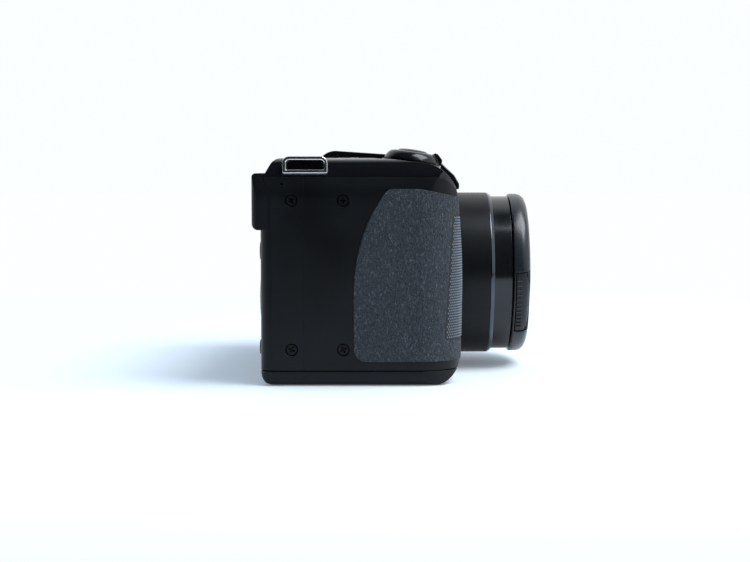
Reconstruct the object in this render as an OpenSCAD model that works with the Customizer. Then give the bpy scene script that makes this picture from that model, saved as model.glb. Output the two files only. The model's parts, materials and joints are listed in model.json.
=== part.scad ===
// Bridge camera with a fixed telescoping zoom lens, a battery grip and a pop-up flash.
// The origin is the mouth of the tripod socket. +X points from the grip to the far end,
// the lens points to -Y and +Z is up. All sizes are in millimetres.

/* [Body] */
// Width of the body from the grip end to the far end
body_w = 111; // [107:0.5:118]
// Distance from the grip end to the lens axis
lens_from_grip = 63; // [62:0.5:66]
// Depth of the main body from its front face to its rear face
body_d = 47; // [46:0.5:52]
// Distance from the tripod socket to the rear face
socket_from_rear = 23; // [22.5:0.5:25]
// Height of the top cover above the fixed barrel
top_rise = 11.95; // [11.5:0.05:14]
// Thickness of the moulded covers
wall = 2; // [1.8:0.1:2.2]
// Height of the bottom cover and the battery door
tray_h = 5; // [4.8:0.1:5.6]
// Height of the top cover above its seam
cover_drop = 6.1; // [5.6:0.1:6.6]
// Distance from the rear face to the seam between the front and rear covers
split_from_rear = 14; // [13.6:0.1:14.6]

/* [Grip] */
// Depth of the grip from its front to the rear face
grip_d = 65.4; // [62:0.2:70]
// Width of the part of the grip that stands in front of the body
grip_w = 26; // [24:0.5:27]
// Rounding of the outer front corner of the grip, seen from above
grip_round = 15; // [12:0.5:16]
// Thickness of the rubber skin
rubber_t = 1; // [0.8:0.1:1.2]
// Height of the rubber skin above the moulded grip
rubber_proud = 0.3; // [0.2:0.05:0.4]
// Height of the lower edge of the rubber
rubber_z = 7.8; // [7:0.1:9]
// Gap between the rubber panel and the seam of the top cover
rubber_margin = 3.8; // [3.6:0.1:7]
// Height of the lower edge of the knurled finger inlay
inlay_z = 14.4; // [12:0.2:18]
// Height of the knurled finger inlay
inlay_h = 40.6; // [34:0.2:42]
// Thickness of the thumb rest behind the rear face
thumb_t = 2.8; // [2:0.1:4]
// Drop from the top cover to the lower edge of the thumb rest
thumb_drop = 23.1; // [22.5:0.1:23.6]
// Height of the thumb rest
thumb_h = 18.2; // [15:0.2:18.8]
// Width of the thumb rest
thumb_w = 24; // [18:0.5:27]

/* [Lens] */
// Gap between the table and the fixed barrel
lens_clear = 3.65; // [3.2:0.05:4]
// Outer diameter of the fixed barrel
barrel_d = 57.7; // [56.5:0.1:58.1]
// Length of the fixed barrel in front of the body
barrel_len = 29.8; // [27:0.2:33]
// Length of the bright trim ring
trim_len = 1.5; // [1:0.1:2.5]
// Length of the zoom barrel that shows when the lens is retracted
nose_len = 6.1; // [5:0.1:9]
// Wall of each barrel
barrel_wall = 1; // [0.8:0.05:1.1]
// Running gap between the barrels
barrel_gap = 0.3; // [0.25:0.05:0.4]
// Travel of the outer zoom barrel
zoom_travel_outer = 22; // [16:0.5:22]
// Travel of the inner zoom barrel in the outer one
zoom_travel_inner = 18; // [14:0.5:18]
// Width of the rim round the front glass
front_rim = 5.25; // [4.5:0.05:8]
// Diameter of the housing of the rear lens group
rear_tube_d = 40; // [36:0.5:42]
// Step from the radius of the fixed barrel down to that of the cap
cap_step = 0.45; // [0:0.05:1]
// Thickness of the lens cap
cap_t = 6; // [5.4:0.1:6.6]
// Gap between the cap and the front of the lens
cap_gap = 0.4; // [0.3:0.05:1]
// Angle by which the cap is turned on the lens
cap_roll = 20; // [0:1:40]
// Width of a pinch tab on the cap
tab_w = 22; // [16:0.5:24]
// Travel of a pinch tab
tab_travel = 1.5; // [1:0.1:2]

/* [Controls] */
// Distance from the grip end to the shutter button
shutter_from_end = 20; // [18:0.5:22]
// Distance from the front of the grip to the shutter button
shutter_from_front = 16.4; // [16:0.2:18]
// Drop from the top cover to the zoom lever's seat
shutter_drop = 1.2; // [0.4:0.1:1.5]
// Forward tilt of the shutter button
shutter_tilt = 8; // [4:1:10]
// Diameter of the zoom lever
lever_d = 18.4; // [17.4:0.1:18.6]
// Diameter of the shutter button
shutter_d = 10.8; // [9:0.1:11.4]
// Travel of the shutter button
shutter_travel = 0.8; // [0.4:0.1:1]
// Diameter of the power button
power_d = 6.8; // [5:0.1:8]
// Travel of a small button
button_travel = 0.5; // [0.3:0.05:0.6]
// Height of a button above the cover around it
button_proud = 0.8; // [0.6:0.1:1.2]
// Diameter of the recording button
record_d = 7; // [5:0.1:8]
// Diameter of the other small rear buttons
button_d = 6; // [5:0.1:7]
// Diameter of the four-way selector
selector_d = 19; // [17:0.2:20]
// Diameter of the OK button in the selector
ok_d = 8.6; // [7:0.1:9]

/* [Flash] */
// Width of the flash head
flash_w = 42; // [38:0.5:44]
// Height of the flash hump above the top cover
flash_rise = 2.8; // [2.2:0.1:4]
// Drop from the top cover to the flash hinge
flash_hinge_drop = 3.8; // [3.4:0.1:4.2]
// Distance from the rear face to the flash hinge
flash_hinge_from_rear = 23.2; // [22:0.2:24]
// Distance from the front face of the body to the tip of the flash head
flash_reach = 19.2; // [18:0.1:21]
// Gap between the fixed barrel and the flash head
flash_gap = 1.4; // [1.2:0.1:1.6]

/* [Doors] */
// Width of the battery door from the grip end to its hinge
door_w = 44.5; // [44:0.1:45]
// Radius of the hinge knuckles on the battery door
knuckle_r = 1.5; // [1.4:0.05:1.6]
// Radius of the hinge pins
pin_r = 0.6; // [0.5:0.02:0.7]
// Radial clearance of a pin or a stem in its hole
pin_clear = 0.05; // [0.03:0.01:0.08]
// Height of the connector door
port_h = 26; // [24:0.5:28]
// Width of the connector door
port_w = 20; // [18:0.5:21]
// Height of the lower edge of the connector door
port_z = 19; // [17:0.5:20]
// Thickness of the connector door
port_t = 1.5; // [1.2:0.1:1.7]

/* [Strap and screws] */
// Length of a strap eyelet
eyelet_len = 14.5; // [12:0.5:16]
// Height of a strap eyelet
eyelet_h = 5.5; // [5:0.1:6]
// Thickness of a strap eyelet
eyelet_t = 1.6; // [1.2:0.1:2]
// Width of the metal round the eyelet's hole
eyelet_rim = 1.2; // [1:0.1:1.4]
// Drop from the top cover to the foot of an eyelet
eyelet_drop = 5; // [4.4:0.1:5.4]
// Diameter of a screw recess
recess_d = 4.1; // [3.8:0.1:4.6]
// Diameter of a screw head
screw_head_d = 3.6; // [3:0.1:3.7]
// Diameter of a screw shank
screw_d = 1.6; // [1.4:0.1:1.8]
// Minor diameter of the tripod thread, a quarter inch with 20 turns to the inch
thread_d = 5.2; // [5:0.05:5.3]
// Depth of the tripod thread
thread_depth = 6.5; // [5.5:0.1:7]

/* [Inside] */
// Diameter of a battery cell
cell_d = 14.5; // [14:0.1:14.5]
// Length of a battery cell
cell_len = 50.5; // [49:0.1:50.5]
// Distance between the axes of two cells
cell_pitch = 15.2; // [15:0.1:15.3]
// Distance from the rear face to the middle of the battery holder
holder_from_rear = 28.2; // [27.9:0.1:28.3]
// Wall of the battery holder
holder_wall = 1.6; // [1.4:0.1:1.7]
// Thickness of the circuit boards
board_t = 1.2; // [0.8:0.1:1.4]
// Thickness of the chassis plate
chassis_t = 1.2; // [1:0.1:1.4]
// Width of the key area beside the display window
key_zone = 39; // [38:0.5:41]
// Height of the display window
window_h = 50; // [46:0.5:52]
// Thickness of the display window
window_t = 1.3; // [1.1:0.1:1.4]
// Clearance between pieces that move past each other
gap = 0.3; // [0.25:0.05:0.4]

/* [Hidden] */
$fn = 96;

// Colours
matte_black = [0.06, 0.06, 0.07];
gloss_black = [0.02, 0.02, 0.025];
slate_rubber = [0.17, 0.19, 0.21];
bright_metal = [0.8, 0.8, 0.82];
board_green = [0.05, 0.25, 0.12];
brass = [0.75, 0.6, 0.25];
clear_glass = [0.6, 0.7, 0.75, 0.5];
panel_black = [0.1, 0.1, 0.12];
cell_green = [0.25, 0.3, 0.25];
card_blue = [0.1, 0.12, 0.2];
chassis_grey = [0.55, 0.56, 0.58];
motor_grey = [0.4, 0.4, 0.42];
capacitor_blue = [0.12, 0.12, 0.16];

// A length that is larger than the camera in every direction
far = 200;
// A cut runs this far past the surface that it opens
past = 0.5;
// Solids that form one piece overlap by this much where they join
join = 0.1;

// Heights that follow from the fixed barrel, or from the cells where they need more room
barrel_r = barrel_d / 2;
lens_z = lens_clear + barrel_r;
cell_z = tray_h + 1.6;
holder_top = cell_z + cell_len + 5;
cover_room = 11.2;
body_h = max(lens_z + barrel_r + top_rise, holder_top + cover_room);
seam_z = body_h - cover_drop;
thumb_z = body_h - thumb_drop;
shutter_seat_z = body_h - shutter_drop;
flash_top = body_h + flash_rise;
flash_hinge_z = body_h - flash_hinge_drop;
eyelet_z = body_h - eyelet_drop;
shoulder_drop = 10.6;
shoulder_z = body_h - shoulder_drop;

// Main planes of the body
x_grip = -lens_from_grip;
x_far = body_w - lens_from_grip;
y_rear = socket_from_rear;
y_front = y_rear - body_d;
y_grip = y_rear - grip_d;
y_split = y_rear - split_from_rear;
y_rear_in = y_rear - wall;
y_front_in = y_front + wall;

// Corner roundings of the body
far_front_round = 8;
far_rear_round = 5;
grip_rear_round = 4.5;
grip_inner_round = 9;
// The grip outline reaches this far back into the main outline
grip_root = 12;
bottom_round = 3.5;
// Both ends lean inwards at a shoulder
shoulder_rise = 5.6;
shoulder_in = 2;
shoulder_round = 14;
top_in = 3.5;
top_round = 6;
// The top slopes down to the front of the grip, and to the rear face
slope_start = y_grip + 25.9;
slope_bend = y_grip + 7.4;
slope_bend_drop = 2.3;
slope_drop = 9.6;
rear_slope_drop = 7.8;
rear_slope_run = 4.3;
grip_lean_top = 1.9;
grip_lean_bottom = 0.8;

// Outlines are convex lists of [a, b, corner radius], counter-clockwise
// The plan is a hair larger than the side and front outlines, which form the flat faces
hair = 0.05;
plan_main = [
    [x_grip - hair, y_front, 2], [x_far + hair, y_front, far_front_round],
    [x_far + hair, y_rear + hair, far_rear_round], [x_grip - hair, y_rear + hair, grip_rear_round]
];
plan_grip = [
    [x_grip - 2 * hair, y_grip - hair, grip_round], [x_grip + grip_w, y_grip - hair, grip_inner_round],
    [x_grip + grip_w, y_front + grip_root, 0], [x_grip - 2 * hair, y_front + grip_root, 0]
];
side_outline = [
    [y_grip + grip_lean_bottom, 0, 9], [y_rear, 0, 4.5],
    [y_rear, body_h - rear_slope_drop, 3], [y_rear - rear_slope_run, body_h, 4],
    [slope_start, body_h, 60], [slope_bend, body_h - slope_bend_drop, 12],
    [y_grip + grip_lean_top, body_h - slope_drop, 8],
    [y_grip, body_h / 2, 90]
];
front_outline = [
    [x_grip, -hair, bottom_round], [x_far, -hair, bottom_round],
    [x_far, shoulder_z, shoulder_round], [x_far - shoulder_in, shoulder_z + shoulder_rise, top_round],
    [x_far - shoulder_in - top_in, body_h + hair, top_round],
    [x_grip + shoulder_in + top_in, body_h + hair, top_round],
    [x_grip + shoulder_in, shoulder_z + shoulder_rise, top_round], [x_grip, shoulder_z, shoulder_round]
];

function direction(p, q) = [q[0] - p[0], q[1] - p[1]] / norm([q[0] - p[0], q[1] - p[1]]);
function turned(v) = [-v[1], v[0]];
function before(list, i) = list[(i + len(list) - 1) % len(list)];
function after(list, i) = list[(i + 1) % len(list)];

// The same outline, moved inwards by d
function inset(list, d) = [
    for (i = [0:len(list) - 1])
        let (p = list[i])
        let (a = turned(direction(before(list, i), p)))
        let (b = turned(direction(p, after(list, i))))
        let (s = d / (1 + a * b))
        [p[0] + (a[0] + b[0]) * s, p[1] + (a[1] + b[1]) * s, p[2] > 0 ? max(p[2] - d, 0) : 0]
];

// Each rounded corner is an arc in steps of about this angle
arc_step = 7.5;
function turn_at(list, i) =
    acos(direction(before(list, i), list[i]) * direction(list[i], after(list, i)));
function arc_start(list, i) =
    [list[i][0], list[i][1]] - direction(before(list, i), list[i]) * list[i][2] * tan(turn_at(list, i) / 2);
function arc_points(list, i) =
    let (out = -turned(direction(before(list, i), list[i])))
    let (centre = arc_start(list, i) - out * list[i][2])
    let (first = atan2(out[1], out[0]))
    let (steps = list[i][2] > 0 ? ceil(turn_at(list, i) / arc_step) : 0)
    steps == 0 ? [[list[i][0], list[i][1]]] : [
        for (k = [0:steps])
            let (angle = first + turn_at(list, i) * k / steps)
            centre + list[i][2] * [cos(angle), sin(angle)]
    ];
// A convex outline with round corners
module rounded(list) {
    polygon([for (i = [0:len(list) - 1]) each arc_points(list, i)]);
}

// Extrusions of an outline along one axis, from one place to another
module along_x(from, to) {
    translate([from, 0, 0]) rotate([90, 0, 90]) linear_extrude(to - from) children();
}
module along_y(from, to) {
    translate([0, to, 0]) rotate([90, 0, 0]) linear_extrude(to - from) children();
}
module along_z(from, to) {
    translate([0, 0, from]) linear_extrude(to - from) children();
}
// A box between two corners
module box(low, high) {
    translate(low) cube(high - low);
}
// A round bar along one axis
module bar_x(x0, x1, y, z, r) {
    translate([x0, y, z]) rotate([0, 90, 0]) cylinder(h = x1 - x0, r = r);
}
module bar_y(y0, y1, x, z, r) {
    translate([x, y1, z]) rotate([90, 0, 0]) cylinder(h = y1 - y0, r = r);
}
module bar_z(z0, z1, x, y, r) {
    translate([x, y, z0]) cylinder(h = z1 - z0, r = r);
}
// A turned shape on the lens axis: the outline holds radius and distance in front of the body
module turned_on_lens() {
    translate([0, y_front, lens_z]) rotate([90, 0, 0]) rotate_extrude() children();
}
// A tube on the lens axis between two distances in front of the body
module lens_tube(from, to, outer_r, inner_r) {
    turned_on_lens() translate([inner_r, from]) square([outer_r - inner_r, to - from]);
}

// The outer form of the body, moved inwards by d
module body_form(d) {
    intersection() {
        along_z(-far, far) {
            rounded(inset(plan_main, d));
            rounded(inset(plan_grip, d));
        }
        along_x(-far, far) rounded(inset(side_outline, d));
        along_y(-far, far) rounded(inset(front_outline, d));
    }
}
module hollow_form() {
    difference() {
        body_form(0);
        body_form(wall);
    }
}
// The seam of the top cover falls away near the front of the grip
seam_fall = [[8.4, 0.2], [6.2, 0.8], [4.2, 2], [2.4, 4], [-past, 8.7]];
module over_seam() {
    along_x(-far, far) polygon(concat(
        [[far, seam_z]],
        [for (place = seam_fall) [y_grip + place[0], seam_z - place[1]]],
        [[y_grip - past, far], [far, far]]
    ));
}
module under_seam() {
    difference() {
        box([-far, -far, tray_h], [far, far, far]);
        over_seam();
    }
}

// Lens sizes, as radii and as distances in front of the body
barrel_in = barrel_r - barrel_wall;
outer_r = barrel_in - barrel_gap;
outer_in = outer_r - barrel_wall;
inner_r = outer_in - barrel_gap;
inner_in = inner_r - barrel_wall;
front_glass_d = 2 * (inner_in - front_rim);
lens_hole_r = barrel_r + 0.15;
flange_r = barrel_r + 1.7;
flange_t = 1.5;
trim_at = barrel_len + trim_len;
lens_end = trim_at + nose_len;
mouth_d = 2.4;
ring_t = 2;

// Side screws: [side of the body, y, z]
screw_low_z = 11.7;
screw_high_z = seam_z - 7.5;
screw_rear_y = y_rear - 10.1;
screw_front_y = y_rear - 26.7;
side_screw_places = [
    for (z = [screw_low_z, screw_high_z]) each [
        [-1, screw_rear_y, z], [-1, screw_front_y, z], [1, screw_rear_y, z]
    ]
];
recess_depth = 1.3;
head_t = 0.9;
shank_r = screw_d / 2;
shank_hole_r = shank_r + pin_clear;
shank_reach = 1.6;
function side_x(side) = side < 0 ? x_grip : x_far;

// A bar that runs inwards from one end of the body, between two depths
module inward_bar(place, from, to, r) {
    x0 = side_x(place[0]) - place[0] * from;
    x1 = side_x(place[0]) - place[0] * to;
    bar_x(min(x0, x1), max(x0, x1), place[1], place[2], r);
}
module side_screw_holes() {
    for (place = side_screw_places) {
        inward_bar(place, -past, recess_depth, recess_d / 2);
        inward_bar(place, 0, wall + past, shank_hole_r);
    }
}

// Bottom screws hold the bottom cover to the foot of the chassis
bottom_screw_y = y_rear - 10;
bottom_screw_places = [[16, bottom_screw_y], [x_far - 8, bottom_screw_y], [-12, bottom_screw_y]];
foot_z = tray_h + 0.2;
boss_r = 2.2;

// Flash bay and nose
flash_hinge_y = y_rear - flash_hinge_from_rear;
flash_round = flash_top - flash_hinge_z;
flash_tip_y = y_front - flash_reach;
flash_low_z = body_h - top_rise + flash_gap;
bay_gap = 0.4;
bay_half = flash_w / 2 + bay_gap;
bay_rear = flash_hinge_y + flash_round + bay_gap;
bay_wall = 1.5;
bay_z = flash_low_z - bay_gap;
module flash_notch() {
    box([-bay_half, -far, bay_z], [bay_half, bay_rear, far]);
}

// Rubber panel and finger inlay, seen from the grip end as [y, z, radius]
rubber_top = seam_z - rubber_margin;
rubber_y = y_grip + 35.4;
rubber_back = [
    [y_grip - past, rubber_z, 0], [rubber_y, rubber_z, 4], [rubber_y, rubber_z + 30.2, 60],
    [rubber_y - 4.5, rubber_top - 9.4, 46], [rubber_y - 11, rubber_top, 3],
    [y_grip + 14, rubber_top, 8], [y_grip - past, rubber_top - 3, 0]
];
inlay_back = [
    [y_grip - past, inlay_z, 0], [y_grip + 6.1, inlay_z, 1.2],
    [y_grip + 3.5, inlay_z + inlay_h, 1.2], [y_grip - past, inlay_z + inlay_h, 0]
];
rubber_end_x = x_grip + 20;
inlay_end_x = x_grip + 18;
inlay_proud = 0.15;
rubber_seat = rubber_t - rubber_proud;
// A skin between two depths of the body form
module skin(outside, inside) {
    difference() {
        body_form(-outside);
        body_form(inside);
    }
}
module rubber_zone() {
    along_x(x_grip - 2, rubber_end_x) rounded(rubber_back);
}
module inlay_zone() {
    along_x(x_grip - 2, inlay_end_x) rounded(inlay_back);
}

// Strap eyelets stand at the upper edge of both ends: [y, z, radius]
eyelet_y = y_rear - 7.2;
eyelet_top = eyelet_z + eyelet_h;
eyelet_outline = [
    [eyelet_y - eyelet_len, eyelet_z, 0.6], [eyelet_y, eyelet_z, 0.6],
    [eyelet_y, eyelet_top, 2.2], [eyelet_y - eyelet_len, eyelet_top, 2.2]
];
eyelet_stand = 0.2;
eyelet_in = 1.4;
strap_room = 3.6;
pocket_wall = 1.2;
module eyelet_place(side, from, to) {
    x0 = side_x(side) - side * (eyelet_in + from);
    x1 = side_x(side) - side * (eyelet_in + to);
    along_x(min(x0, x1), max(x0, x1)) children();
}
// Solid corners of the top cover that the pockets are sunk into
module eyelet_corners() {
    intersection() {
        body_form(pocket_wall / 4);
        for (side = [-1, 1])
            eyelet_place(side, 0, eyelet_t + strap_room + pocket_wall)
                translate([eyelet_y - eyelet_len - pocket_wall, seam_z + 0.4])
                    square([eyelet_len + 2 * pocket_wall, far]);
    }
}
module eyelet_pockets() {
    for (side = [-1, 1]) {
        eyelet_place(side, -past, eyelet_t - eyelet_stand) rounded(eyelet_outline);
        eyelet_place(side, eyelet_t - eyelet_stand - join, eyelet_t + strap_room)
            rounded(inset(eyelet_outline, eyelet_rim));
    }
}

// Connector door on the far end
port_y = y_front + 12;
port_hinge_x = x_far - 0.95;
port_knuckle_r = 0.9;
port_sweep_r = 1.5;
pocket_d = 3.2;
module port_pocket() {
    box([x_far - port_t - gap, port_y - 2 * gap, port_z - gap],
        [far, port_y + port_w + gap, port_z + port_h + gap]);
    box([x_far - pocket_d, port_y + 3, port_z + 2], [far, port_y + port_w - 2, port_z + port_h - 2]);
    bar_z(port_z - gap, port_z + port_h + gap, port_hinge_x, port_y + port_knuckle_r, port_sweep_r);
    bar_z(port_z - port_pin_reach, port_z + port_h + port_pin_reach,
        port_hinge_x, port_y + port_knuckle_r, port_pin_r + pin_clear);
}

// Focus lamp beside the lens
lamp_out = barrel_r + 6.15;
lamp_turn = 45.6;
lamp_x = -lamp_out * cos(lamp_turn);
lamp_z = lens_z + lamp_out * sin(lamp_turn);
lamp_r = 2.2;

module front_shell() {
    color(matte_black) difference() {
        intersection() {
            hollow_form();
            under_seam();
            box([-far, -far, 0], [far, y_split, far]);
        }
        bar_y(y_front - past, y_front_in + past, 0, lens_z, lens_hole_r);
        flash_notch();
        intersection() {
            skin(1, rubber_seat);
            rubber_zone();
        }
        side_screw_holes();
        port_pocket();
        bar_y(y_front - past, y_front_in + past, lamp_x, lamp_z, lamp_r);
    }
    color(matte_black) port_pocket_floor();
}
// The tray behind the connector door, open where the sockets come through
module port_pocket_floor() {
    floor_x = x_far - pocket_d;
    difference() {
        box([floor_x - 1, port_y + 1.5, port_z + 0.5],
            [x_far - wall, port_y + port_w - 0.5, port_z + port_h - 0.5]);
        box([floor_x, port_y + 3, port_z + 2], [far, port_y + port_w - 2, port_z + port_h - 2]);
        socket_windows();
    }
}

// A small pit under the eyelet of the grip end
pit_y = y_rear - 7;
pit_z = seam_z - 2.2;
pit_r = 0.45;
pit_d = 0.8;
module rear_shell() {
    color(matte_black) difference() {
        intersection() {
            hollow_form();
            under_seam();
            box([-far, y_split, 0], [far, far, far]);
        }
        side_screw_holes();
        inward_bar([-1, pit_y, pit_z], -past, pit_d + shoulder_in, pit_r);
        display_opening();
        rear_button_holes();
    }
}

module top_cover() {
    color(gloss_black) difference() {
        union() {
            intersection() {
                hollow_form();
                over_seam();
            }
            eyelet_corners();
            intersection() {
                at_shutter(-pedestal_h) cylinder(h = pedestal_h, r = pedestal_r);
                over_seam();
            }
        }
        flash_notch();
        eyelet_pockets();
        shutter_bores();
        power_bore();
        speaker_slots();
    }
}

// Battery door hinge
door_hinge_x = x_grip + door_w;
door_hinge_z = 1.7;
door_edge = 1.8;
cover_edge = 2.2;
door_knuckle_half = 14.5;
ear_len = 4;
// A hinge leaf reaches this far into the cover that carries it
leaf_root = 0.6;
module hinge_leaf(y0, y1, toward, r) {
    difference() {
        union() {
            bar_y(y0, y1, door_hinge_x, door_hinge_z, r);
            box([min(door_hinge_x, door_hinge_x + toward), y0, door_hinge_z - r],
                [max(door_hinge_x, door_hinge_x + toward), y1, wall]);
        }
        bar_y(y0 - past, y1 + past, door_hinge_x, door_hinge_z, pin_r + pin_clear);
    }
}

// Tripod bush
bush_r = 5.2;
bush_flange_r = 7.5;
bush_flange_t = 1.2;
bush_h = thread_depth + 1;

module bottom_cover() {
    color(matte_black) difference() {
        union() {
            intersection() {
                hollow_form();
                box([door_hinge_x + cover_edge, -far, -far], [far, far, tray_h]);
            }
            intersection() {
                hollow_form();
                box([door_hinge_x - door_edge + gap, -far, wall + 0.05],
                    [door_hinge_x + cover_edge + 1, far, tray_h]);
            }
            for (place = bottom_screw_places)
                bar_z(wall - join, foot_z, place[0], place[1], boss_r);
        }
        bar_y(y_front - past, y_front_in + past, 0, lens_z, lens_hole_r);
        bar_z(-past, wall + past, 0, 0, bush_r);
        for (place = bottom_screw_places) {
            bar_z(-past, recess_depth, place[0], place[1], recess_d / 2);
            bar_z(0, foot_z + past, place[0], place[1], shank_hole_r);
        }
    }
    color(matte_black) for (side = [-1, 1]) {
        ear_y = side * (door_knuckle_half + gap + ear_len / 2);
        hinge_leaf(ear_y - ear_len / 2, ear_y + ear_len / 2, cover_edge + leaf_root, knuckle_r);
    }
}

// Latch on the battery door
latch_x = x_grip + 11;
latch_y = y_grip + 15.9;
latch_w = 5;
latch_len = 8;
latch_travel = 2.5;
latch_face_z = 0.3;
latch_flange = 2;
latch_flange_t = 0.8;
module door_latch() {
    color(gloss_black) {
        box([latch_x - latch_w / 2, latch_y - latch_len / 2, latch_face_z],
            [latch_x + latch_w / 2, latch_y + latch_len / 2, wall + gap + join]);
        flange_w = latch_w / 2 + latch_flange;
        flange_len = latch_len / 2 + latch_flange;
        box([latch_x - flange_w, latch_y - flange_len, wall + gap],
            [latch_x + flange_w, latch_y + flange_len, wall + gap + latch_flange_t]);
    }
}

module battery_door() {
    color(matte_black) difference() {
        intersection() {
            hollow_form();
            box([-far, -far, -far], [door_hinge_x - door_edge, far, tray_h - gap]);
        }
        box([latch_x - latch_w / 2 - gap, latch_y - latch_len / 2 - gap, -past],
            [latch_x + latch_w / 2 + gap, latch_y + latch_len / 2 + latch_travel + gap, wall + past]);
    }
    color(matte_black)
        hinge_leaf(-door_knuckle_half, door_knuckle_half, -door_edge - leaf_root, knuckle_r);
}
module door_hinge_pin() {
    pin_half = door_knuckle_half + gap + ear_len;
    color(bright_metal) bar_y(-pin_half, pin_half, door_hinge_x, door_hinge_z, pin_r);
}

module grip_rubber() {
    color(slate_rubber) difference() {
        intersection() {
            skin(rubber_proud, rubber_seat);
            rubber_zone();
        }
        inlay_zone();
    }
}
module finger_inlay() {
    color(slate_rubber) intersection() {
        skin(inlay_proud, rubber_seat);
        rubber_zone();
        inlay_zone();
    }
}

// Thumb rest on the rear face: the side outline is [y, z, radius]
thumb_root = 4;
thumb_outline = [
    [y_rear - thumb_root, thumb_z, 0], [y_rear + thumb_t, thumb_z, 2.2],
    [y_rear + thumb_t, thumb_z + thumb_h, 1.4], [y_rear - thumb_root, thumb_z + thumb_h, 0]
];
thumb_in = 0.3;
thumb_x = x_grip + thumb_in / 2;
thumb_plan = [
    [thumb_x, y_rear - 2 * thumb_root, 0], [thumb_x + thumb_w, y_rear - 2 * thumb_root, 0],
    [thumb_x + thumb_w, y_rear + thumb_t, 2.4], [thumb_x, y_rear + thumb_t, 3]
];
module thumb_rest() {
    color(matte_black) difference() {
        intersection() {
            along_x(-far, far) rounded(thumb_outline);
            along_z(-far, far) rounded(thumb_plan);
            along_y(-far, far) rounded(inset(front_outline, thumb_in));
        }
        body_form(0);
    }
}

// Display: a clear window in the rear face, with the panel behind it
window_edge = 6;
window_x = x_grip + key_zone;
window_w = x_far - window_edge - window_x;
window_z = 9;
window_lip = 1;
window_proud = 0.3;
window_floor = y_rear + window_proud - window_t;
panel_t = 4.4;
function window_box(lip) = [
    window_x + lip, window_z + lip, window_x + window_w - lip, window_z + window_h - lip
];
module window_plate(lip, round_r, from, to) {
    b = window_box(lip);
    along_y(from, to)
        rounded([[b[0], b[1], round_r], [b[2], b[1], round_r], [b[2], b[3], round_r], [b[0], b[3], round_r]]);
}
module display_opening() {
    window_plate(0, 2, window_floor, y_rear + past);
    window_plate(window_lip, 1, y_rear_in - past, window_floor + join);
}
module display_window() {
    color(clear_glass) window_plate(0, 2, window_floor, y_rear + window_proud);
}
module display_panel() {
    color(panel_black) window_plate(window_lip + gap, 0.6, window_floor - panel_t, window_floor);
}

// Rear buttons: [x, z, diameter]
flange_lip = 0.8;
key_back = y_rear_in - 2.2;
button_flange_back = key_back + button_travel + 0.2;
button_flange_t = 0.8;
// Width of the step round the top of a key
key_step = 0.6;
// The key area has columns and two rows
key_columns = 39;
function key_x(column) = x_grip + key_zone * column / key_columns;
key_low_z = window_z + 2.5;
key_high_z = window_z + 34;
button_axis_x = key_x(20);
record_place = [key_x(13), key_high_z, record_d];
scene_place = [key_x(27), key_high_z, button_d];
playback_place = [key_x(33), key_low_z + 0.5, button_d];
menu_place = [key_x(11), key_low_z, button_d];
delete_place = [key_x(23), key_low_z, button_d];
small_places = [record_place, scene_place, playback_place, menu_place, delete_place];
selector_z = (key_low_z + key_high_z) / 2 + 0.25;
selector_bore_r = ok_d / 2 + gap;
module rear_button_holes() {
    for (p = small_places)
        bar_y(y_rear_in - past, y_rear + past, p[0], p[1], p[2] / 2 + gap);
    bar_y(y_rear_in - past, y_rear + past, button_axis_x, selector_z, selector_d / 2 + gap);
}
// A round key: a cap through the cover and a flange behind it
module key(place) {
    translate([place[0], button_flange_back, place[1]]) rotate([-90, 0, 0]) rotate_extrude() {
        square([place[2] / 2 + flange_lip, button_flange_t]);
        square([place[2] / 2, y_rear + button_proud / 2 - button_flange_back]);
        square([place[2] / 2 - key_step, y_rear + button_proud - button_flange_back]);
    }
}
module record_button() { color(matte_black) key(record_place); }
module scene_button() { color(matte_black) key(scene_place); }
module playback_button() { color(matte_black) key(playback_place); }
module menu_button() { color(matte_black) key(menu_place); }
module delete_button() { color(matte_black) key(delete_place); }
module ok_button() {
    ok_top = y_rear + button_proud - 0.2;
    color(matte_black)
        translate([button_axis_x, button_flange_back, selector_z]) rotate([-90, 0, 0])
            cylinder(h = ok_top - button_flange_back, r = ok_d / 2);
}
module selector_ring() {
    pad_r = selector_d / 2 - 0.8;
    color(matte_black)
        translate([button_axis_x, button_flange_back, selector_z]) rotate([-90, 0, 0]) rotate_extrude()
            translate([selector_bore_r, 0]) {
                square([selector_d / 2 + flange_lip - selector_bore_r, button_flange_t - join]);
                square([selector_d / 2 - selector_bore_r, y_rear + button_proud / 2 - button_flange_back]);
                translate([key_step, 0])
                    square([pad_r - selector_bore_r - key_step, y_rear + button_proud - button_flange_back]);
            }
}

// Shutter button and zoom lever, in a frame that is tilted forward
shutter_x = x_grip + shutter_from_end;
shutter_y = y_grip + shutter_from_front;
pedestal_r = lever_d / 2 + 0.6;
pedestal_h = 5;
shutter_r = shutter_d / 2;
lever_hub_in = shutter_r + gap;
lever_hub_r = lever_hub_in + 0.9;
lever_hub_d = 3;
lever_top = 3.4;
shutter_top = 4.2;
stem_r = 1.5;
stem_end = 5.6;
button_seat_d = shutter_travel + 0.7;
module at_shutter(level) {
    translate([shutter_x, shutter_y, shutter_seat_z]) rotate([shutter_tilt, 0, 0])
        translate([0, 0, level]) children();
}
module shutter_bores() {
    at_shutter(-lever_hub_d - 0.4) cylinder(h = far, r = lever_hub_r + pin_clear);
    at_shutter(-pedestal_h - past) cylinder(h = pedestal_h, r = stem_r + pin_clear);
}
// Each step of the lever's crown is [distance in from its edge, drop below its top]
lever_crown = [[0.15, 2.5], [0.9, 1.2], [1.9, 0.3], [3, 0]];
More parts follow.
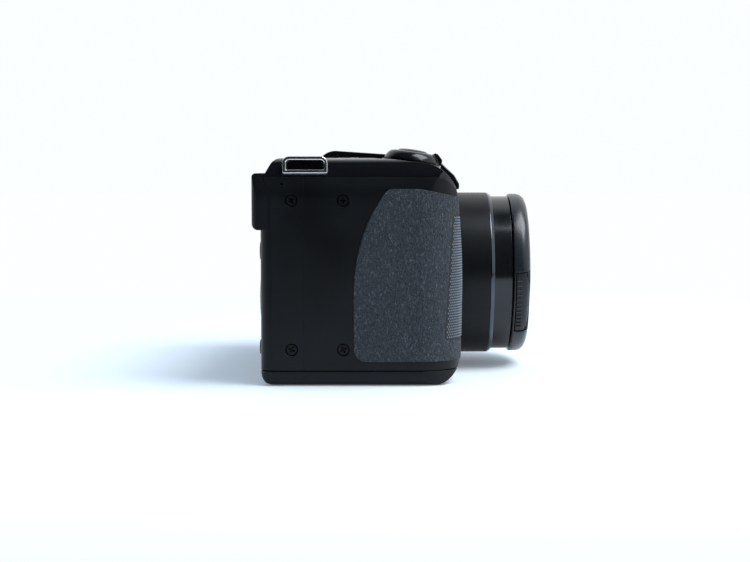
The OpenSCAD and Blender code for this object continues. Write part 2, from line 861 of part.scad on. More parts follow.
// The nub at the front of the lever, as [distance behind its edge, height]
nub_side = [[-0.8, 0.6], [2.5, 0.6], [2.6, 3.2], [1.9, 4], [0.9, 3.7], [-0.8, 2]];
module zoom_lever() {
    nub_w = 5;
    color(gloss_black) difference() {
        union() {
            at_shutter(gap) rotate_extrude() polygon([
                [0, 0], [lever_d / 2 - 0.3, 0], [lever_d / 2, 0.3],
                each [for (place = lever_crown) [lever_d / 2 - place[0], lever_top - gap - place[1]]],
                [0, lever_top - gap]
            ]);
            at_shutter(-lever_hub_d) cylinder(h = lever_hub_d + gap + join, r = lever_hub_r);
            at_shutter(0) along_x(-nub_w / 2, nub_w / 2) translate([-lever_d / 2, 0]) polygon(nub_side);
        }
        at_shutter(-far / 2) cylinder(h = far, r = lever_hub_in);
    }
}
module shutter_button() {
    color(gloss_black) {
        at_shutter(-button_seat_d) rotate_extrude() polygon([
            [0, 0], [shutter_r, 0], [shutter_r, shutter_top + button_seat_d - 1],
            [shutter_r - 1, shutter_top + button_seat_d - 0.3], [shutter_r - 3, shutter_top + button_seat_d],
            [0, shutter_top + button_seat_d]
        ]);
        at_shutter(-stem_end) cylinder(h = stem_end - button_seat_d + join, r = stem_r);
    }
}

// Power button behind the shutter button
power_y = shutter_y + 21;
power_r = power_d / 2;
power_proud = 0.25;
power_flange_z = body_h - wall - 1.3;
module power_bore() {
    bar_z(body_h - wall - past, far, shutter_x, power_y, power_r + gap);
}
module power_button() {
    color(gloss_black) {
        bar_z(power_flange_z, body_h + power_proud, shutter_x, power_y, power_r);
        bar_z(power_flange_z, power_flange_z + 0.7, shutter_x, power_y, power_r + flange_lip);
        bar_z(top_board_z + board_t + 0.7, power_flange_z + join, shutter_x, power_y, 1.2);
    }
}
top_board_z = seam_z - 2.9;
module top_switch_board() {
    color(board_green)
        box([x_grip + 5, shutter_y - 3, top_board_z],
            [x_grip + grip_w - wall - 1, power_y + 8, top_board_z + board_t]);
}

// Speaker under slots in the top cover
// The room between the flash bay and the far end sets the size of what stands there
far_room = x_far - wall - shoulder_in - bay_half - bay_wall;
far_mid = bay_half + bay_wall + far_room / 2;
speaker_x = far_mid;
speaker_y = y_rear - 20;
speaker_r = 0.3 * far_room;
speaker_t = 2;
cone_t = 1;
speaker_z = body_h - wall - speaker_t - cone_t - join;
cone_z = speaker_z + speaker_t;
slot_len = 1.15 * speaker_r;
slot_w = 0.13 * speaker_r;
slot_pitch = 0.32 * speaker_r;
module speaker_slots() {
    for (i = [-2:2])
        translate([speaker_x + i * slot_pitch - slot_w / 2, speaker_y - slot_len / 2, seam_z + 1])
            cube([slot_w, slot_len, far]);
}
module speaker() {
    color(gloss_black) {
        bar_z(speaker_z, cone_z, speaker_x, speaker_y, speaker_r);
        bar_z(cone_z - join, cone_z + cone_t, speaker_x, speaker_y, speaker_r - 1);
    }
}

module eyelet(side) {
    eyelet_place(side, -eyelet_stand, eyelet_t - eyelet_stand) difference() {
        rounded(eyelet_outline);
        rounded(inset(eyelet_outline, eyelet_rim));
    }
}
module strap_eyelet_right() { color(bright_metal) eyelet(-1); }
module strap_eyelet_left() { color(bright_metal) eyelet(1); }

// A cross recess in a screw head, on +Z
cross_len = 2.2;
cross_w = 0.44;
cross_d = 0.6;
module cross_cut(depth) {
    for (turn = [0, 90])
        rotate([0, 0, turn])
            translate([-cross_len / 2, -cross_w / 2, -depth])
                cube([cross_len, cross_w, depth + past]);
}
// A screw whose head points to +Z, with its seat at the origin
module screw(shank_len) {
    difference() {
        cylinder(h = head_t, r = screw_head_d / 2);
        translate([0, 0, head_t]) cross_cut(cross_d);
    }
    translate([0, 0, -shank_len]) cylinder(h = shank_len + join, r = shank_r);
}
module side_screws() {
    color(matte_black) for (place = side_screw_places)
        translate([side_x(place[0]) - place[0] * recess_depth, place[1], place[2]])
            rotate([0, place[0] * 90, 0]) screw(wall - recess_depth + shank_reach);
}
module bottom_screws() {
    color(matte_black) for (place = bottom_screw_places)
        translate([place[0], place[1], recess_depth]) rotate([180, 0, 0])
            screw(foot_z + chassis_t - recess_depth);
}
module tripod_bush() {
    color(bright_metal) difference() {
        union() {
            bar_z(0, bush_h, 0, 0, bush_r);
            bar_z(wall, wall + bush_flange_t, 0, 0, bush_flange_r);
        }
        bar_z(-past, thread_depth, 0, 0, thread_d / 2);
    }
}

// Battery holder with four upright cells
cell_clear = 0.2;
well_r = cell_d / 2 + cell_clear;
holder_x = x_grip + wall + gap;
holder_y = y_rear - holder_from_rear;
holder_half = cell_pitch / 2 + well_r + holder_wall;
cell_xs = [for (i = [0, 1]) holder_x + holder_wall + well_r + i * cell_pitch];
cell_ys = [for (i = [-1, 1]) holder_y + i * cell_pitch / 2];
holder_end = holder_x + 2 * holder_half;
holder_low = tray_h + 0.6;
contact_t = 0.6;
contact_gap = 0.2;
module battery_holder() {
    color(matte_black) difference() {
        box([holder_x, holder_y - holder_half, holder_low], [holder_end, holder_y + holder_half, holder_top]);
        for (x = cell_xs, y = cell_ys)
            bar_z(holder_low - past, cell_z + cell_len + contact_gap + contact_t, x, y, well_r);
        for (place = side_screw_places)
            inward_bar(place, wall, wall + shank_reach + join, shank_hole_r);
    }
}
module battery_cells() {
    nub_h = 1;
    nub_r = 2.6;
    color(cell_green) for (x = cell_xs, y = cell_ys) {
        bar_z(cell_z, cell_z + cell_len - nub_h, x, y, cell_d / 2);
        bar_z(cell_z + cell_len - nub_h - join, cell_z + cell_len, x, y, nub_r);
    }
}
// Contact discs over the cells, at the closed end of each well
module cell_contacts() {
    contact_z = cell_z + cell_len + contact_gap;
    color(brass) for (x = cell_xs, y = cell_ys)
        bar_z(contact_z, contact_z + contact_t, x, y, well_r - 1);
}
// Two plates on the battery door that join the cells in pairs
spring_foot_r = 3.6;
spring_tip_r = 2.2;
module door_contacts() {
    plate_half = cell_pitch / 2 + 4;
    color(brass) for (x = cell_xs) {
        box([x - 4, holder_y - plate_half, wall], [x + 4, holder_y + plate_half, wall + contact_t]);
        for (y = cell_ys)
            translate([x, y, wall + contact_t - join])
                cylinder(h = cell_z - gap - wall - contact_t + join, r1 = spring_foot_r, r2 = spring_tip_r);
    }
}

// Memory card beside the battery holder, in its slot
card_w = 24;
card_len = 32;
card_t = 2.1;
card_clear = 0.15;
card_x = holder_end + 1.9;
card_y = holder_y + 2;
card_z = tray_h + 0.7;
module memory_card() {
    color(card_blue)
        box([card_x, card_y - card_w / 2, card_z], [card_x + card_t, card_y + card_w / 2, card_z + card_len]);
}
module card_slot() {
    slot_low = card_z + 3;
    color(bright_metal) difference() {
        box([holder_end, card_y - card_w / 2 - 1.5, slot_low],
            [card_x + card_t + 1.2, card_y + card_w / 2 + 1.5, card_z + card_len + 1.2]);
        box([card_x - card_clear, card_y - card_w / 2 - card_clear, slot_low - past],
            [card_x + card_t + card_clear, card_y + card_w / 2 + card_clear, card_z + card_len + card_clear]);
    }
}

// Chassis: an upright plate behind the lens, arms at both ends and a foot
chassis_back = y_rear_in - 5.8;
chassis_front = chassis_back - chassis_t;
arm_y = holder_y + holder_half + 0.3;
chassis_low = tray_h + 0.2;
chassis_top = seam_z - 5;
foot_x = door_hinge_x + 0.5;
arm_low = 2.5;
arm_high = 2.4;
foot_far = x_far - 5;
module chassis_plates() {
    box([x_grip + wall, chassis_front, chassis_low + 2], [x_far - wall, chassis_back, chassis_top]);
    for (z = [screw_low_z, screw_high_z]) {
        box([x_grip + wall, arm_y, z - arm_low], [x_grip + wall + chassis_t, chassis_back, z + arm_high]);
        box([x_far - wall - chassis_t, arm_y, z - arm_low], [x_far - wall, chassis_back, z + arm_high]);
    }
    box([foot_x, y_rear - 12, foot_z], [foot_far, chassis_back, foot_z + chassis_t]);
    box([foot_x, chassis_front, foot_z], [foot_far, chassis_back, chassis_low + 3]);
}
module chassis_room() {
    along_y(-far, far) rounded(inset(front_outline, wall + hair));
}
module chassis() {
    color(chassis_grey) difference() {
        intersection() {
            chassis_room();
            chassis_plates();
        }
        for (place = side_screw_places)
            inward_bar(place, wall - past, wall + shank_reach + past, shank_hole_r);
        for (place = bottom_screw_places)
            bar_z(foot_z - past, foot_z + chassis_t + past, place[0], place[1], shank_hole_r);
    }
}
// Main board behind the chassis
module main_board() {
    board_y = chassis_back;
    color(board_green) box([window_x, board_y, window_z],
        [window_x + window_w + 1, board_y + board_t, window_z + window_h - 1]);
}
// Board under the rear keys, on two posts
module key_board() {
    post_r = 2;
    color(board_green) {
        box([x_grip + wall + 3, key_back - board_t, key_low_z - 5],
            [window_x - 1.5, key_back, key_high_z + 6]);
        for (z = [key_low_z + 7.5, key_high_z - 6])
            bar_y(chassis_back, key_back - board_t + join, key_x(7.5), z, post_r);
    }
}

// Lens: fixed barrel, mounting flange and the housing of the rear group
rear_tube_r = rear_tube_d / 2;
rear_tube_wall = 1.5;
rear_tube_end = chassis_front - y_front - 3;
sensor_w = 0.6 * rear_tube_r;
sensor_h = 0.5 * rear_tube_r;
sensor_board_w = 1.6 * rear_tube_r;
sensor_board_h = 1.3 * rear_tube_r;
module lens_base_barrel() {
    color(gloss_black) difference() {
        union() {
            lens_tube(-wall, barrel_len, barrel_r, barrel_in);
            intersection() {
                lens_tube(-wall - flange_t, -wall, flange_r, rear_tube_r - rear_tube_wall);
                box([holder_end + gap, -far, foot_z], [far, far, bay_z - bay_wall - gap]);
            }
            lens_tube(-rear_tube_end, -wall - flange_t + join, rear_tube_r, rear_tube_r - rear_tube_wall);
            lens_tube(-rear_tube_end, -rear_tube_end + rear_tube_wall, rear_tube_r, 0);
        }
        box([-sensor_w / 2 - 1, y_front, lens_z - sensor_h / 2 - 1],
            [sensor_w / 2 + 1, far, lens_z + sensor_h / 2 + 1]);
    }
}
module lens_trim_ring() {
    color(bright_metal) turned_on_lens() polygon([
        [barrel_in, barrel_len], [barrel_r, barrel_len], [barrel_r, barrel_len + 0.4],
        [barrel_in + 0.3, trim_at], [barrel_in, trim_at]
    ]);
}
module rear_lens_group() {
    group_r = rear_tube_r - rear_tube_wall;
    color(clear_glass) turned_on_lens() polygon([
        [0, -12.5], [group_r - 4, -13.5], [group_r, -13.5], [group_r, -17.5],
        [group_r - 4, -17.5], [0, -18.5]
    ]);
}
module sensor_board() {
    board_front = y_front + rear_tube_end;
    color(board_green) {
        box([-sensor_board_w / 2, board_front, lens_z - sensor_board_h / 2],
            [sensor_board_w / 2, board_front + board_t, lens_z + sensor_board_h / 2]);
        box([-sensor_w / 2, board_front - 1.2, lens_z - sensor_h / 2],
            [sensor_w / 2, board_front + join, lens_z + sensor_h / 2]);
    }
}
motor_x = far_mid + 0.065 * far_room;
motor_z = 13;
motor_r = 0.215 * far_room;
gear_d = 8;
motor_len = 18;
module zoom_motor() {
    color(motor_grey) {
        box([motor_x - 1.1 * motor_r, y_front_in, motor_z - 1.2 * motor_r],
            [motor_x + 0.6 * motor_r, y_front_in + gear_d, motor_z + 1.8 * motor_r]);
        bar_y(y_front_in + gear_d - join, y_front_in + gear_d + motor_len, motor_x, motor_z, motor_r);
    }
}
capacitor_r = 0.26 * far_room;
capacitor_z = seam_z - 2.2 * capacitor_r;
lead_len = 8;
lead_r = 1.2;
module flash_capacitor() {
    color(capacitor_blue) {
        bar_y(y_front_in + 0.6, chassis_front - lead_len, motor_x, capacitor_z, capacitor_r);
        bar_y(chassis_front - lead_len - join, chassis_front, motor_x, capacitor_z, lead_r);
    }
}
module focus_lamp_lens() {
    color(clear_glass) bar_y(y_front - 0.2, y_front_in, lamp_x, lamp_z, lamp_r);
}

// Moving barrels, each with a running gap in the one outside it
// Each hold is the length of a barrel that its travel leaves over
outer_hold = 16.6;
inner_hold = 19;
outer_rear = lens_end - zoom_travel_outer - outer_hold;
inner_rear = lens_end - zoom_travel_inner - inner_hold;
module zoom_barrel_outer() {
    color(gloss_black) lens_tube(outer_rear, lens_end, outer_r, outer_in);
}
seat_at = lens_end - mouth_d - ring_t;
glass_seat_t = 1.5;
module zoom_barrel_inner() {
    color(gloss_black) {
        lens_tube(inner_rear, lens_end, inner_r, inner_in);
        lens_tube(seat_at - glass_seat_t, seat_at, inner_r - join, front_glass_d / 2);
    }
}
module front_ring() {
    color(matte_black) turned_on_lens() polygon([
        [front_glass_d / 2, seat_at], [inner_in, seat_at],
        [inner_in, lens_end - mouth_d], [inner_in - 0.6, lens_end - mouth_d],
        [front_glass_d / 2, seat_at + 0.9]
    ]);
}
// A meniscus front element: its outer face bulges by glass_bulge
glass_bulge = 2.2;
glass_t = 1.8;
module front_glass() {
    glass_r = front_glass_d / 2;
    ball_r = (glass_r * glass_r + glass_bulge * glass_bulge) / (2 * glass_bulge);
    glass_at = seat_at - 0.6;
    color(clear_glass) turned_on_lens() intersection() {
        translate([0, glass_at - glass_t]) square([glass_r, glass_t + glass_bulge]);
        translate([0, glass_at + glass_bulge - ball_r]) circle(ball_r, $fn = 720);
    }
}

// Lens cap with two pinch tabs, turned on the lens by cap_roll
cap_r = barrel_r - cap_step;
cap_at = lens_end + cap_gap;
cap_end = cap_at + cap_t;
cap_skin_front = 1.3;
cap_skin_rear = 0.7;
cap_rear_edge = 0.3;
// Each step of the cap's rounding is [distance in from its rim, drop behind its face]
cap_round = [[0, 3.2], [0.35, 1.9], [1.2, 0.8], [2.6, 0.15], [4, 0]];
plug_r = inner_in - gap;
plug_wall = 1.2;
plug_depth = cap_gap + mouth_d - 0.5;
tab_depth = 8;
pad_depth = 3;
tab_sunk = 0.3;
tab_low = cap_at + cap_skin_rear + gap;
tab_high = cap_end - cap_skin_front - gap;
module on_cap() {
    translate([0, 0, lens_z]) rotate([0, -cap_roll, 0]) translate([0, 0, -lens_z]) children();
}
// The cap's round form, smaller all over by d
module cap_form(d) {
    turned_on_lens() polygon([
        [0, cap_at], [cap_r - d - cap_rear_edge, cap_at], [cap_r - d, cap_at + cap_rear_edge],
        each [for (place = cap_round) [cap_r - d - place[0], cap_end - d - place[1]]], [0, cap_end - d]
    ]);
}
// A block of a tab on one side, from a depth under the rim outwards, as far forward as front
module tab_block(side, depth, front, margin) {
    inner = side * (cap_r - depth);
    box([min(inner, side * far), y_front - front - margin, lens_z - tab_w / 2 - margin],
        [max(inner, side * far), y_front - tab_low + margin, lens_z + tab_w / 2 + margin]);
}
// A tab slides under the cap's face, and its outer pad comes through the rim to the front
module tab_blocks(side, margin, inner_margin) {
    tab_block(side, tab_depth + inner_margin, tab_high, margin);
    tab_block(side, pad_depth + inner_margin, cap_end + past, margin);
}
module lens_cap() {
    color(gloss_black) on_cap() difference() {
        union() {
            cap_form(0);
            lens_tube(cap_at - plug_depth, cap_at + join, plug_r, plug_r - plug_wall);
        }
        for (side = [-1, 1])
            tab_blocks(side, gap, tab_travel + gap);
    }
}
module cap_tab(side) {
    color(gloss_black) on_cap() intersection() {
        cap_form(tab_sunk);
        tab_blocks(side, 0, 0);
    }
}
module cap_tab_right() { cap_tab(-1); }
module cap_tab_left() { cap_tab(1); }

// Flash head: a side outline in [y, z] round the hinge, with a slanted window under its nose
// The top falls forwards to the nose: [distance behind the tip, drop below the hump]
nose_fall = [[23.2, 1.3], [13, 2], [5.9, 4.5], [1.7, 8.5]];
nose_lip = 1.9;
window_rise = 3.6;
window_run = 10;
lip_t = 1.4;
head_low_z = bay_z + 0.8;
module flash_profile() {
    polygon([
        [flash_hinge_y, flash_top],
        each [for (place = nose_fall) [flash_tip_y + place[0], flash_top - place[1]]],
        [flash_tip_y, flash_low_z + nose_lip], [flash_tip_y, flash_low_z], [flash_tip_y + lip_t, flash_low_z],
        [flash_tip_y + lip_t + window_run, flash_low_z + window_rise], [y_front, head_low_z],
        [flash_hinge_y, flash_hinge_z - 3]
    ]);
    translate([flash_hinge_y, flash_hinge_z]) circle(flash_round);
}
flash_window_w = 32;
flash_window_t = 1;
window_slope = atan2(window_rise, window_run);
// A block set into the slanted face, from one depth to another, along part of its run
module in_window(width, from, to, start, end) {
    translate([0, flash_tip_y + lip_t, flash_low_z]) rotate([window_slope, 0, 0])
        box([-width / 2, start, from], [width / 2, end, to]);
}
window_start = 1.2;
window_end = 9.2;
lamp_depth = 3;
module flash_pocket() {
    in_window(flash_window_w, -past, flash_window_t, window_start, window_end);
    in_window(flash_window_w - 2, 0, flash_window_t + lamp_depth, window_start + 1, window_end - 1);
}
module flash_head() {
    color(gloss_black) difference() {
        along_x(-flash_w / 2, flash_w / 2) flash_profile();
        flash_pocket();
        bar_x(-far, far, flash_hinge_y, flash_hinge_z, pin_r + pin_clear);
    }
}
module flash_window() {
    color(clear_glass) in_window(flash_window_w, 0, flash_window_t, window_start, window_end);
}
module flash_tube() {
    tube_r = 1.2;
    tube_y = (window_start + window_end) / 2;
    color(clear_glass) translate([0, flash_tip_y + lip_t, flash_low_z]) rotate([window_slope, 0, 0])
        bar_x(-flash_window_w / 2 + 1, flash_window_w / 2 - 1, tube_y, flash_window_t + 1.4, tube_r);
}
module flash_bay() {
    floor_top = bay_z;
    color(matte_black) difference() {
        box([-bay_half - bay_wall, y_front_in, floor_top - bay_wall],
            [bay_half + bay_wall, bay_rear + bay_wall, body_h - wall]);
        box([-bay_half, -far, floor_top], [bay_half, bay_rear, far]);
        bar_x(-far, far, flash_hinge_y, flash_hinge_z, pin_r + pin_clear);
        along_x(-far, far) difference() {
            translate([-far, 0]) square([2 * far, far]);
            rounded(inset(side_outline, wall));
        }
    }
}
module flash_hinge_pin() {
    pin_half = bay_half + bay_wall;
    color(bright_metal) bar_x(-pin_half, pin_half, flash_hinge_y, flash_hinge_z, pin_r);
}

// Connector door with its upright hinge at the front edge
module connector_door() {
    hinge_y = port_y + port_knuckle_r;
    color(matte_black) difference() {
        union() {
            box([x_far - port_t, hinge_y, port_z], [x_far, port_y + port_w, port_z + port_h]);
            bar_z(port_z, port_z + port_h, port_hinge_x, hinge_y, port_knuckle_r);
        }
        bar_z(-far, far, port_hinge_x, hinge_y, port_pin_r + pin_clear);
    }
}
port_pin_r = 0.45;
port_pin_reach = 1.5;
module port_hinge_pin() {
    color(bright_metal) bar_z(port_z - port_pin_reach, port_z + port_h + port_pin_reach,
        port_hinge_x, port_y + port_knuckle_r, port_pin_r);
}
// Two sockets on a small board: the wider one is the data and video socket
socket_in = 7;
socket_depth = 6;
data_w = 9;
data_h = 6.2;
data_y = port_y + 6;
data_z = port_z + 4;
video_w = 11.4;
video_h = 3.6;
video_z = port_z + 15;
socket_wall = 0.5;
module socket_block(margin, front) {
    box([x_far - pocket_d - socket_in, data_y - margin, data_z - margin],
        [front, data_y + data_w + margin, data_z + data_h + margin]);
    box([x_far - pocket_d - socket_in, data_y - margin, video_z - margin],
        [front, data_y + video_w + margin, video_z + video_h + margin]);
}
module socket_windows() {
    socket_block(join, far);
}
module connector_sockets() {
    front = x_far - pocket_d;
    color(bright_metal) difference() {
        socket_block(0, front);
        translate([socket_in - socket_depth + past, 0, 0]) socket_block(-socket_wall, front);
    }
    color(board_green)
        box([front - socket_in - board_t, port_y + 2, port_z],
            [front - socket_in, chassis_front, port_z + port_h - 4]);
}

front_shell();
rear_shell();
top_cover();
bottom_cover();
chassis();
grip_rubber();
finger_inlay();
thumb_rest();
display_window();
display_panel();
strap_eyelet_right();
strap_eyelet_left();
side_screws();
bottom_screws();
tripod_bush();
main_board();
battery_holder();
battery_cells();
cell_contacts();
card_slot();
memory_card();
lens_base_barrel();
lens_trim_ring();
rear_lens_group();
sensor_board();
zoom_motor();
flash_capacitor();
key_board();
top_switch_board();
focus_lamp_lens();
connector_sockets();
flash_bay();
flash_hinge_pin();
door_hinge_pin();
port_hinge_pin();
speaker();
battery_door();
door_contacts();
door_latch();
zoom_barrel_outer();
zoom_barrel_inner();
front_ring();
front_glass();
lens_cap();
cap_tab_right();
cap_tab_left();
shutter_button();
zoom_lever();
power_button();
flash_head();
flash_window();
flash_tube();
record_button();
scene_button();
playback_button();
menu_button();
delete_button();
selector_ring();
ok_button();
connector_door();
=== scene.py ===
# Looks of the bridge camera: finishes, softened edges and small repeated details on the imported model.
# All places are in metres, in the frame of the model: grip at -X, lens towards -Y, +Z up.
import json
import math
import bmesh
import bpy
from mathutils import Matrix, Vector
from mathutils.bvhtree import BVHTree


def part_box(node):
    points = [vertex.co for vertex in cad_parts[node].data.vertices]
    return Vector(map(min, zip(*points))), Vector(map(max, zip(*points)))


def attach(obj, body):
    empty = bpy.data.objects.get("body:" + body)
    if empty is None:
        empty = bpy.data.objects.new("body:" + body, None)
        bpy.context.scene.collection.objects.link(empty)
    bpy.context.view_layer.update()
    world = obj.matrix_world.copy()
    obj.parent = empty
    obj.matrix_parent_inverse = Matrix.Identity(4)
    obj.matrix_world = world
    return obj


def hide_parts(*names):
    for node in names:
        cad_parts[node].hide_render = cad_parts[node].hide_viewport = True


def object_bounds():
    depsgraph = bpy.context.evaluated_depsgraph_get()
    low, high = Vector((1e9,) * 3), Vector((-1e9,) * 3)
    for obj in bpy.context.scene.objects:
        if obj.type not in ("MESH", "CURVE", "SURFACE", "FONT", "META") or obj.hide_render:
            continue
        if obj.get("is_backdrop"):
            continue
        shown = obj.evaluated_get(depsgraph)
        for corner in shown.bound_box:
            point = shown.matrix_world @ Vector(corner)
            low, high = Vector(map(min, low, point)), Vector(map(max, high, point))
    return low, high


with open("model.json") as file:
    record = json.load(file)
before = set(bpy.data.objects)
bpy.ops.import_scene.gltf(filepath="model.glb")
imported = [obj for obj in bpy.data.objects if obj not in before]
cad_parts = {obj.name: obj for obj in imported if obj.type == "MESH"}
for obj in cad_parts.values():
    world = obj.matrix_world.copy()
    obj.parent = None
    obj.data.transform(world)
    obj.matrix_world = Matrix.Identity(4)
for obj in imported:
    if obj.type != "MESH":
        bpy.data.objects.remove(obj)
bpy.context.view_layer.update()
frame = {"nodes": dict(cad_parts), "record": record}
nodes = frame["nodes"]
record = frame["record"]
body_of = {node: body for body, members in record["behaviour"]["bodies"].items() for node in members}
slot_of = {part["node"]: part["material_slot"] for part in record["subparts"]}
scene = bpy.context.scene
MM = 0.001


# Materials

class Value:
    """A value in a node tree. Arithmetic on it adds Math nodes."""

    def __init__(self, graph, socket):
        self.graph = graph
        self.socket = socket

    def __add__(self, other):
        return self.graph.math("ADD", self, other)

    def __sub__(self, other):
        return self.graph.math("SUBTRACT", self, other)

    def __rsub__(self, other):
        return self.graph.math("SUBTRACT", other, self)

    def __mul__(self, other):
        return self.graph.math("MULTIPLY", self, other)

    def __truediv__(self, other):
        return self.graph.math("DIVIDE", self, other)

    def __lt__(self, other):
        return self.graph.math("LESS_THAN", self, other)

    def __gt__(self, other):
        return self.graph.math("GREATER_THAN", self, other)

    def __abs__(self):
        return self.graph.math("ABSOLUTE", self)

    __radd__ = __add__
    __rmul__ = __mul__


class Graph:
    """A node tree that is built by expressions."""

    def node(self, kind, settings=None, sockets=None, output=0):
        """Adds a node: its settings first, then the values or links of its sockets."""
        made = self.tree.nodes.new(kind)
        for name, value in (settings or {}).items():
            setattr(made, name, value)
        for name, value in (sockets or {}).items():
            socket = made.inputs[name] if isinstance(name, int) else next(
                s for s in made.inputs if s.name == name and s.enabled)
            if isinstance(value, Value):
                self.tree.links.new(value.socket, socket)
            else:
                socket.default_value = value
        return Value(self, made.outputs[output] if isinstance(output, str) else next(
            (s for s in list(made.outputs)[output:] if s.enabled), None))

    def math(self, operation, *values):
        return self.node("ShaderNodeMath", {"operation": operation}, dict(enumerate(values)))

    def largest(self, first, *others):
        for other in others:
            first = self.math("MAXIMUM", first, other)
        return first


class Finish(Graph):
    """A procedural material. Fixed values go straight to the shader's sockets."""

    def __init__(self, name, **fixed):
        self.material = bpy.data.materials.new(name)
        self.material.use_nodes = True
        self.tree = self.material.node_tree
        self.shader = self.tree.nodes["Principled BSDF"]
        for socket, value in fixed.items():
            self.shader.inputs[socket.replace("_", " ")].default_value = value
        self.place = self.node("ShaderNodeTexCoord", output="Object")

    def axis(self, letter):
        """One coordinate of the piece's place, in millimetres."""
        split = self.node("ShaderNodeSeparateXYZ", None, {"Vector": self.place}, letter)
        return split / MM

    def stretched(self, x, y, z):
        return self.node("ShaderNodeMapping", None, {"Vector": self.place, "Scale": (x, y, z)})

    def noise(self, per_mm, detail=2.0, roughness=0.5, place=None):
        """Noise with about this many features to the millimetre."""
        return self.node("ShaderNodeTexNoise", None, {
            "Vector": place or self.place, "Scale": per_mm / MM, "Detail": detail, "Roughness": roughness})

    def cells(self, per_mm, feature="F1", place=None):
        return self.node("ShaderNodeTexVoronoi", {"feature": feature}, {
            "Vector": place or self.place, "Scale": per_mm / MM})

    def between(self, value, low, high, to_low, to_high):
        """The value's range from low to high, moved to another range and held there."""
        return self.node("ShaderNodeMapRange", {"clamp": True}, {
            "Value": value, "From Min": low, "From Max": high, "To Min": to_low, "To Max": to_high})

    def mix(self, amount, first, second):
        first, second = [c if isinstance(c, Value) else (*c, 1) for c in (first, second)]
        return self.node("ShaderNodeMix", {"data_type": "RGBA"}, {"Factor": amount, "A": first, "B": second})

    def bump(self, height, depth_mm, under=None):
        sockets = {"Height": height, "Distance": depth_mm * MM, "Strength": 1.0}
        if under:
            sockets["Normal"] = under
        return self.node("ShaderNodeBump", None, sockets)

    def set(self, **values):
        for socket, value in values.items():
            self.tree.links.new(value.socket, self.shader.inputs[socket.replace("_", " ")])
        return self


def moulded(name, colour, roughness, grain_mm=0.012, grain_per_mm=2.6, **fixed):
    """Moulded plastic with a fine eroded grain and slightly uneven colour."""
    f = Finish(name, **fixed)
    patches = f.noise(0.035, 3)
    grain = f.noise(grain_per_mm, 3, 0.6)
    light = tuple(c * 1.5 + 0.002 for c in colour)
    f.set(Base_Color=f.mix(f.between(patches, 0.35, 0.7, 0, 1), colour, light))
    f.set(Roughness=f.between(patches + grain * 0.5, 0.5, 1.0, roughness - 0.06, roughness + 0.07))
    return f.set(Normal=f.bump(grain, grain_mm))


def polished(name, colour, roughness=0.07, **fixed):
    """Polished plastic with faint wiping marks and a little dust."""
    f = Finish(name, Coat_Weight=0.3, Coat_Roughness=0.04, **fixed)
    wiped = f.noise(0.12, 4, 0.6, f.stretched(1, 0.25, 1))
    dust = f.cells(0.55)
    speck = f.between(dust, 0.06, 0.035, 0, 1)
    dusty = tuple(c + 0.03 for c in colour)
    f.set(Base_Color=f.mix(speck * 0.5, colour, dusty))
    f.set(Roughness=f.between(wiped, 0.3, 0.75, roughness, roughness + 0.1) + speck * 0.2)
    return f.set(Normal=f.bump(f.noise(0.05, 2), 0.02))


def leather_rubber(name, colour):
    """Grip rubber with a fine wrinkled leather grain, painted shade in the grain's hollows and painted
    highlight streaks.
    """
    f = Finish(name, Specular_IOR_Level=0.35)
    drift = f.node("ShaderNodeTexNoise", None, {
        "Vector": f.place, "Scale": 0.8 / MM, "Detail": 2.0}, "Color")
    bent = f.node("ShaderNodeMix", {"data_type": "VECTOR"}, {"Factor": 0.0007, "A": f.place, "B": drift})
    wrinkles = f.cells(1.5, "DISTANCE_TO_EDGE", bent)
    pebble = f.between(wrinkles, 0.0, 0.3, 0, 1)
    swell = f.noise(1.1, 3, 0.6, bent)
    patches = f.noise(0.06, 3)
    # Painted shade: the hollows between the grain's cells and the low parts of its swell are coloured much
    # darker.
    dark = tuple(c * 0.25 for c in colour)
    worn = tuple(c * 1.15 + 0.002 for c in colour)
    grey = sum(colour) / 3
    # Painted highlight: the light grey streaks laid over the grain below stand in for its glints.
    rub_marks_and_glints = tuple((c + grey) * 1.25 for c in colour)
    crown = f.mix(f.between(patches, 0.35, 0.7, 0, 1), colour, worn)
    skin_with_painted_shade = f.mix(f.between(pebble * 0.6 + swell, 0.3, 1.0, 0, 1), dark, crown)
    painted_glint_strokes = f.noise(1.1, 3, 0.6, f.stretched(1, 1.6, 0.7))
    f.set(Base_Color=f.mix(f.between(painted_glint_strokes, 0.55, 0.7, 0, 1), skin_with_painted_shade, rub_marks_and_glints))
    f.set(Roughness=f.between(pebble + swell, 0.3, 1.5, 0.65, 0.42))
    return f.set(Normal=f.bump(swell, 0.7, f.bump(pebble, 0.22)))


def turned_metal(name, colour, roughness, metallic=0.0, ring_mm=0.004, **fixed):
    """A turned surface round the lens axis, with fine rings."""
    f = Finish(name, Metallic=metallic, **fixed)
    rings = f.noise(6.0, 2, 0.5, f.stretched(0.004, 1, 0.004))
    smear = f.noise(0.05, 3)
    lighter = tuple(min(c * 1.4 + 0.003, 1) for c in colour)
    f.set(Base_Color=f.mix(f.between(smear, 0.35, 0.7, 0, 1), colour, lighter))
    f.set(Roughness=f.between(rings + smear, 0.7, 1.3, roughness - 0.05, roughness + 0.08))
    return f.set(Normal=f.bump(rings, ring_mm))


def bare_metal(name, colour, roughness, **fixed):
    """Plated or brushed metal with fine rubbing marks."""
    f = Finish(name, Metallic=1.0, **fixed)
    rub_marks_and_glints = f.noise(1.6, 4, 0.6, f.stretched(1, 0.12, 1))
    darker = tuple(c * 0.8 for c in colour)
    f.set(Base_Color=f.mix(f.between(rub_marks_and_glints, 0.4, 0.75, 0, 1), colour, darker))
    f.set(Roughness=f.between(rub_marks_and_glints, 0.3, 0.75, roughness, roughness + 0.14))
    return f.set(Normal=f.bump(rub_marks_and_glints, 0.004))


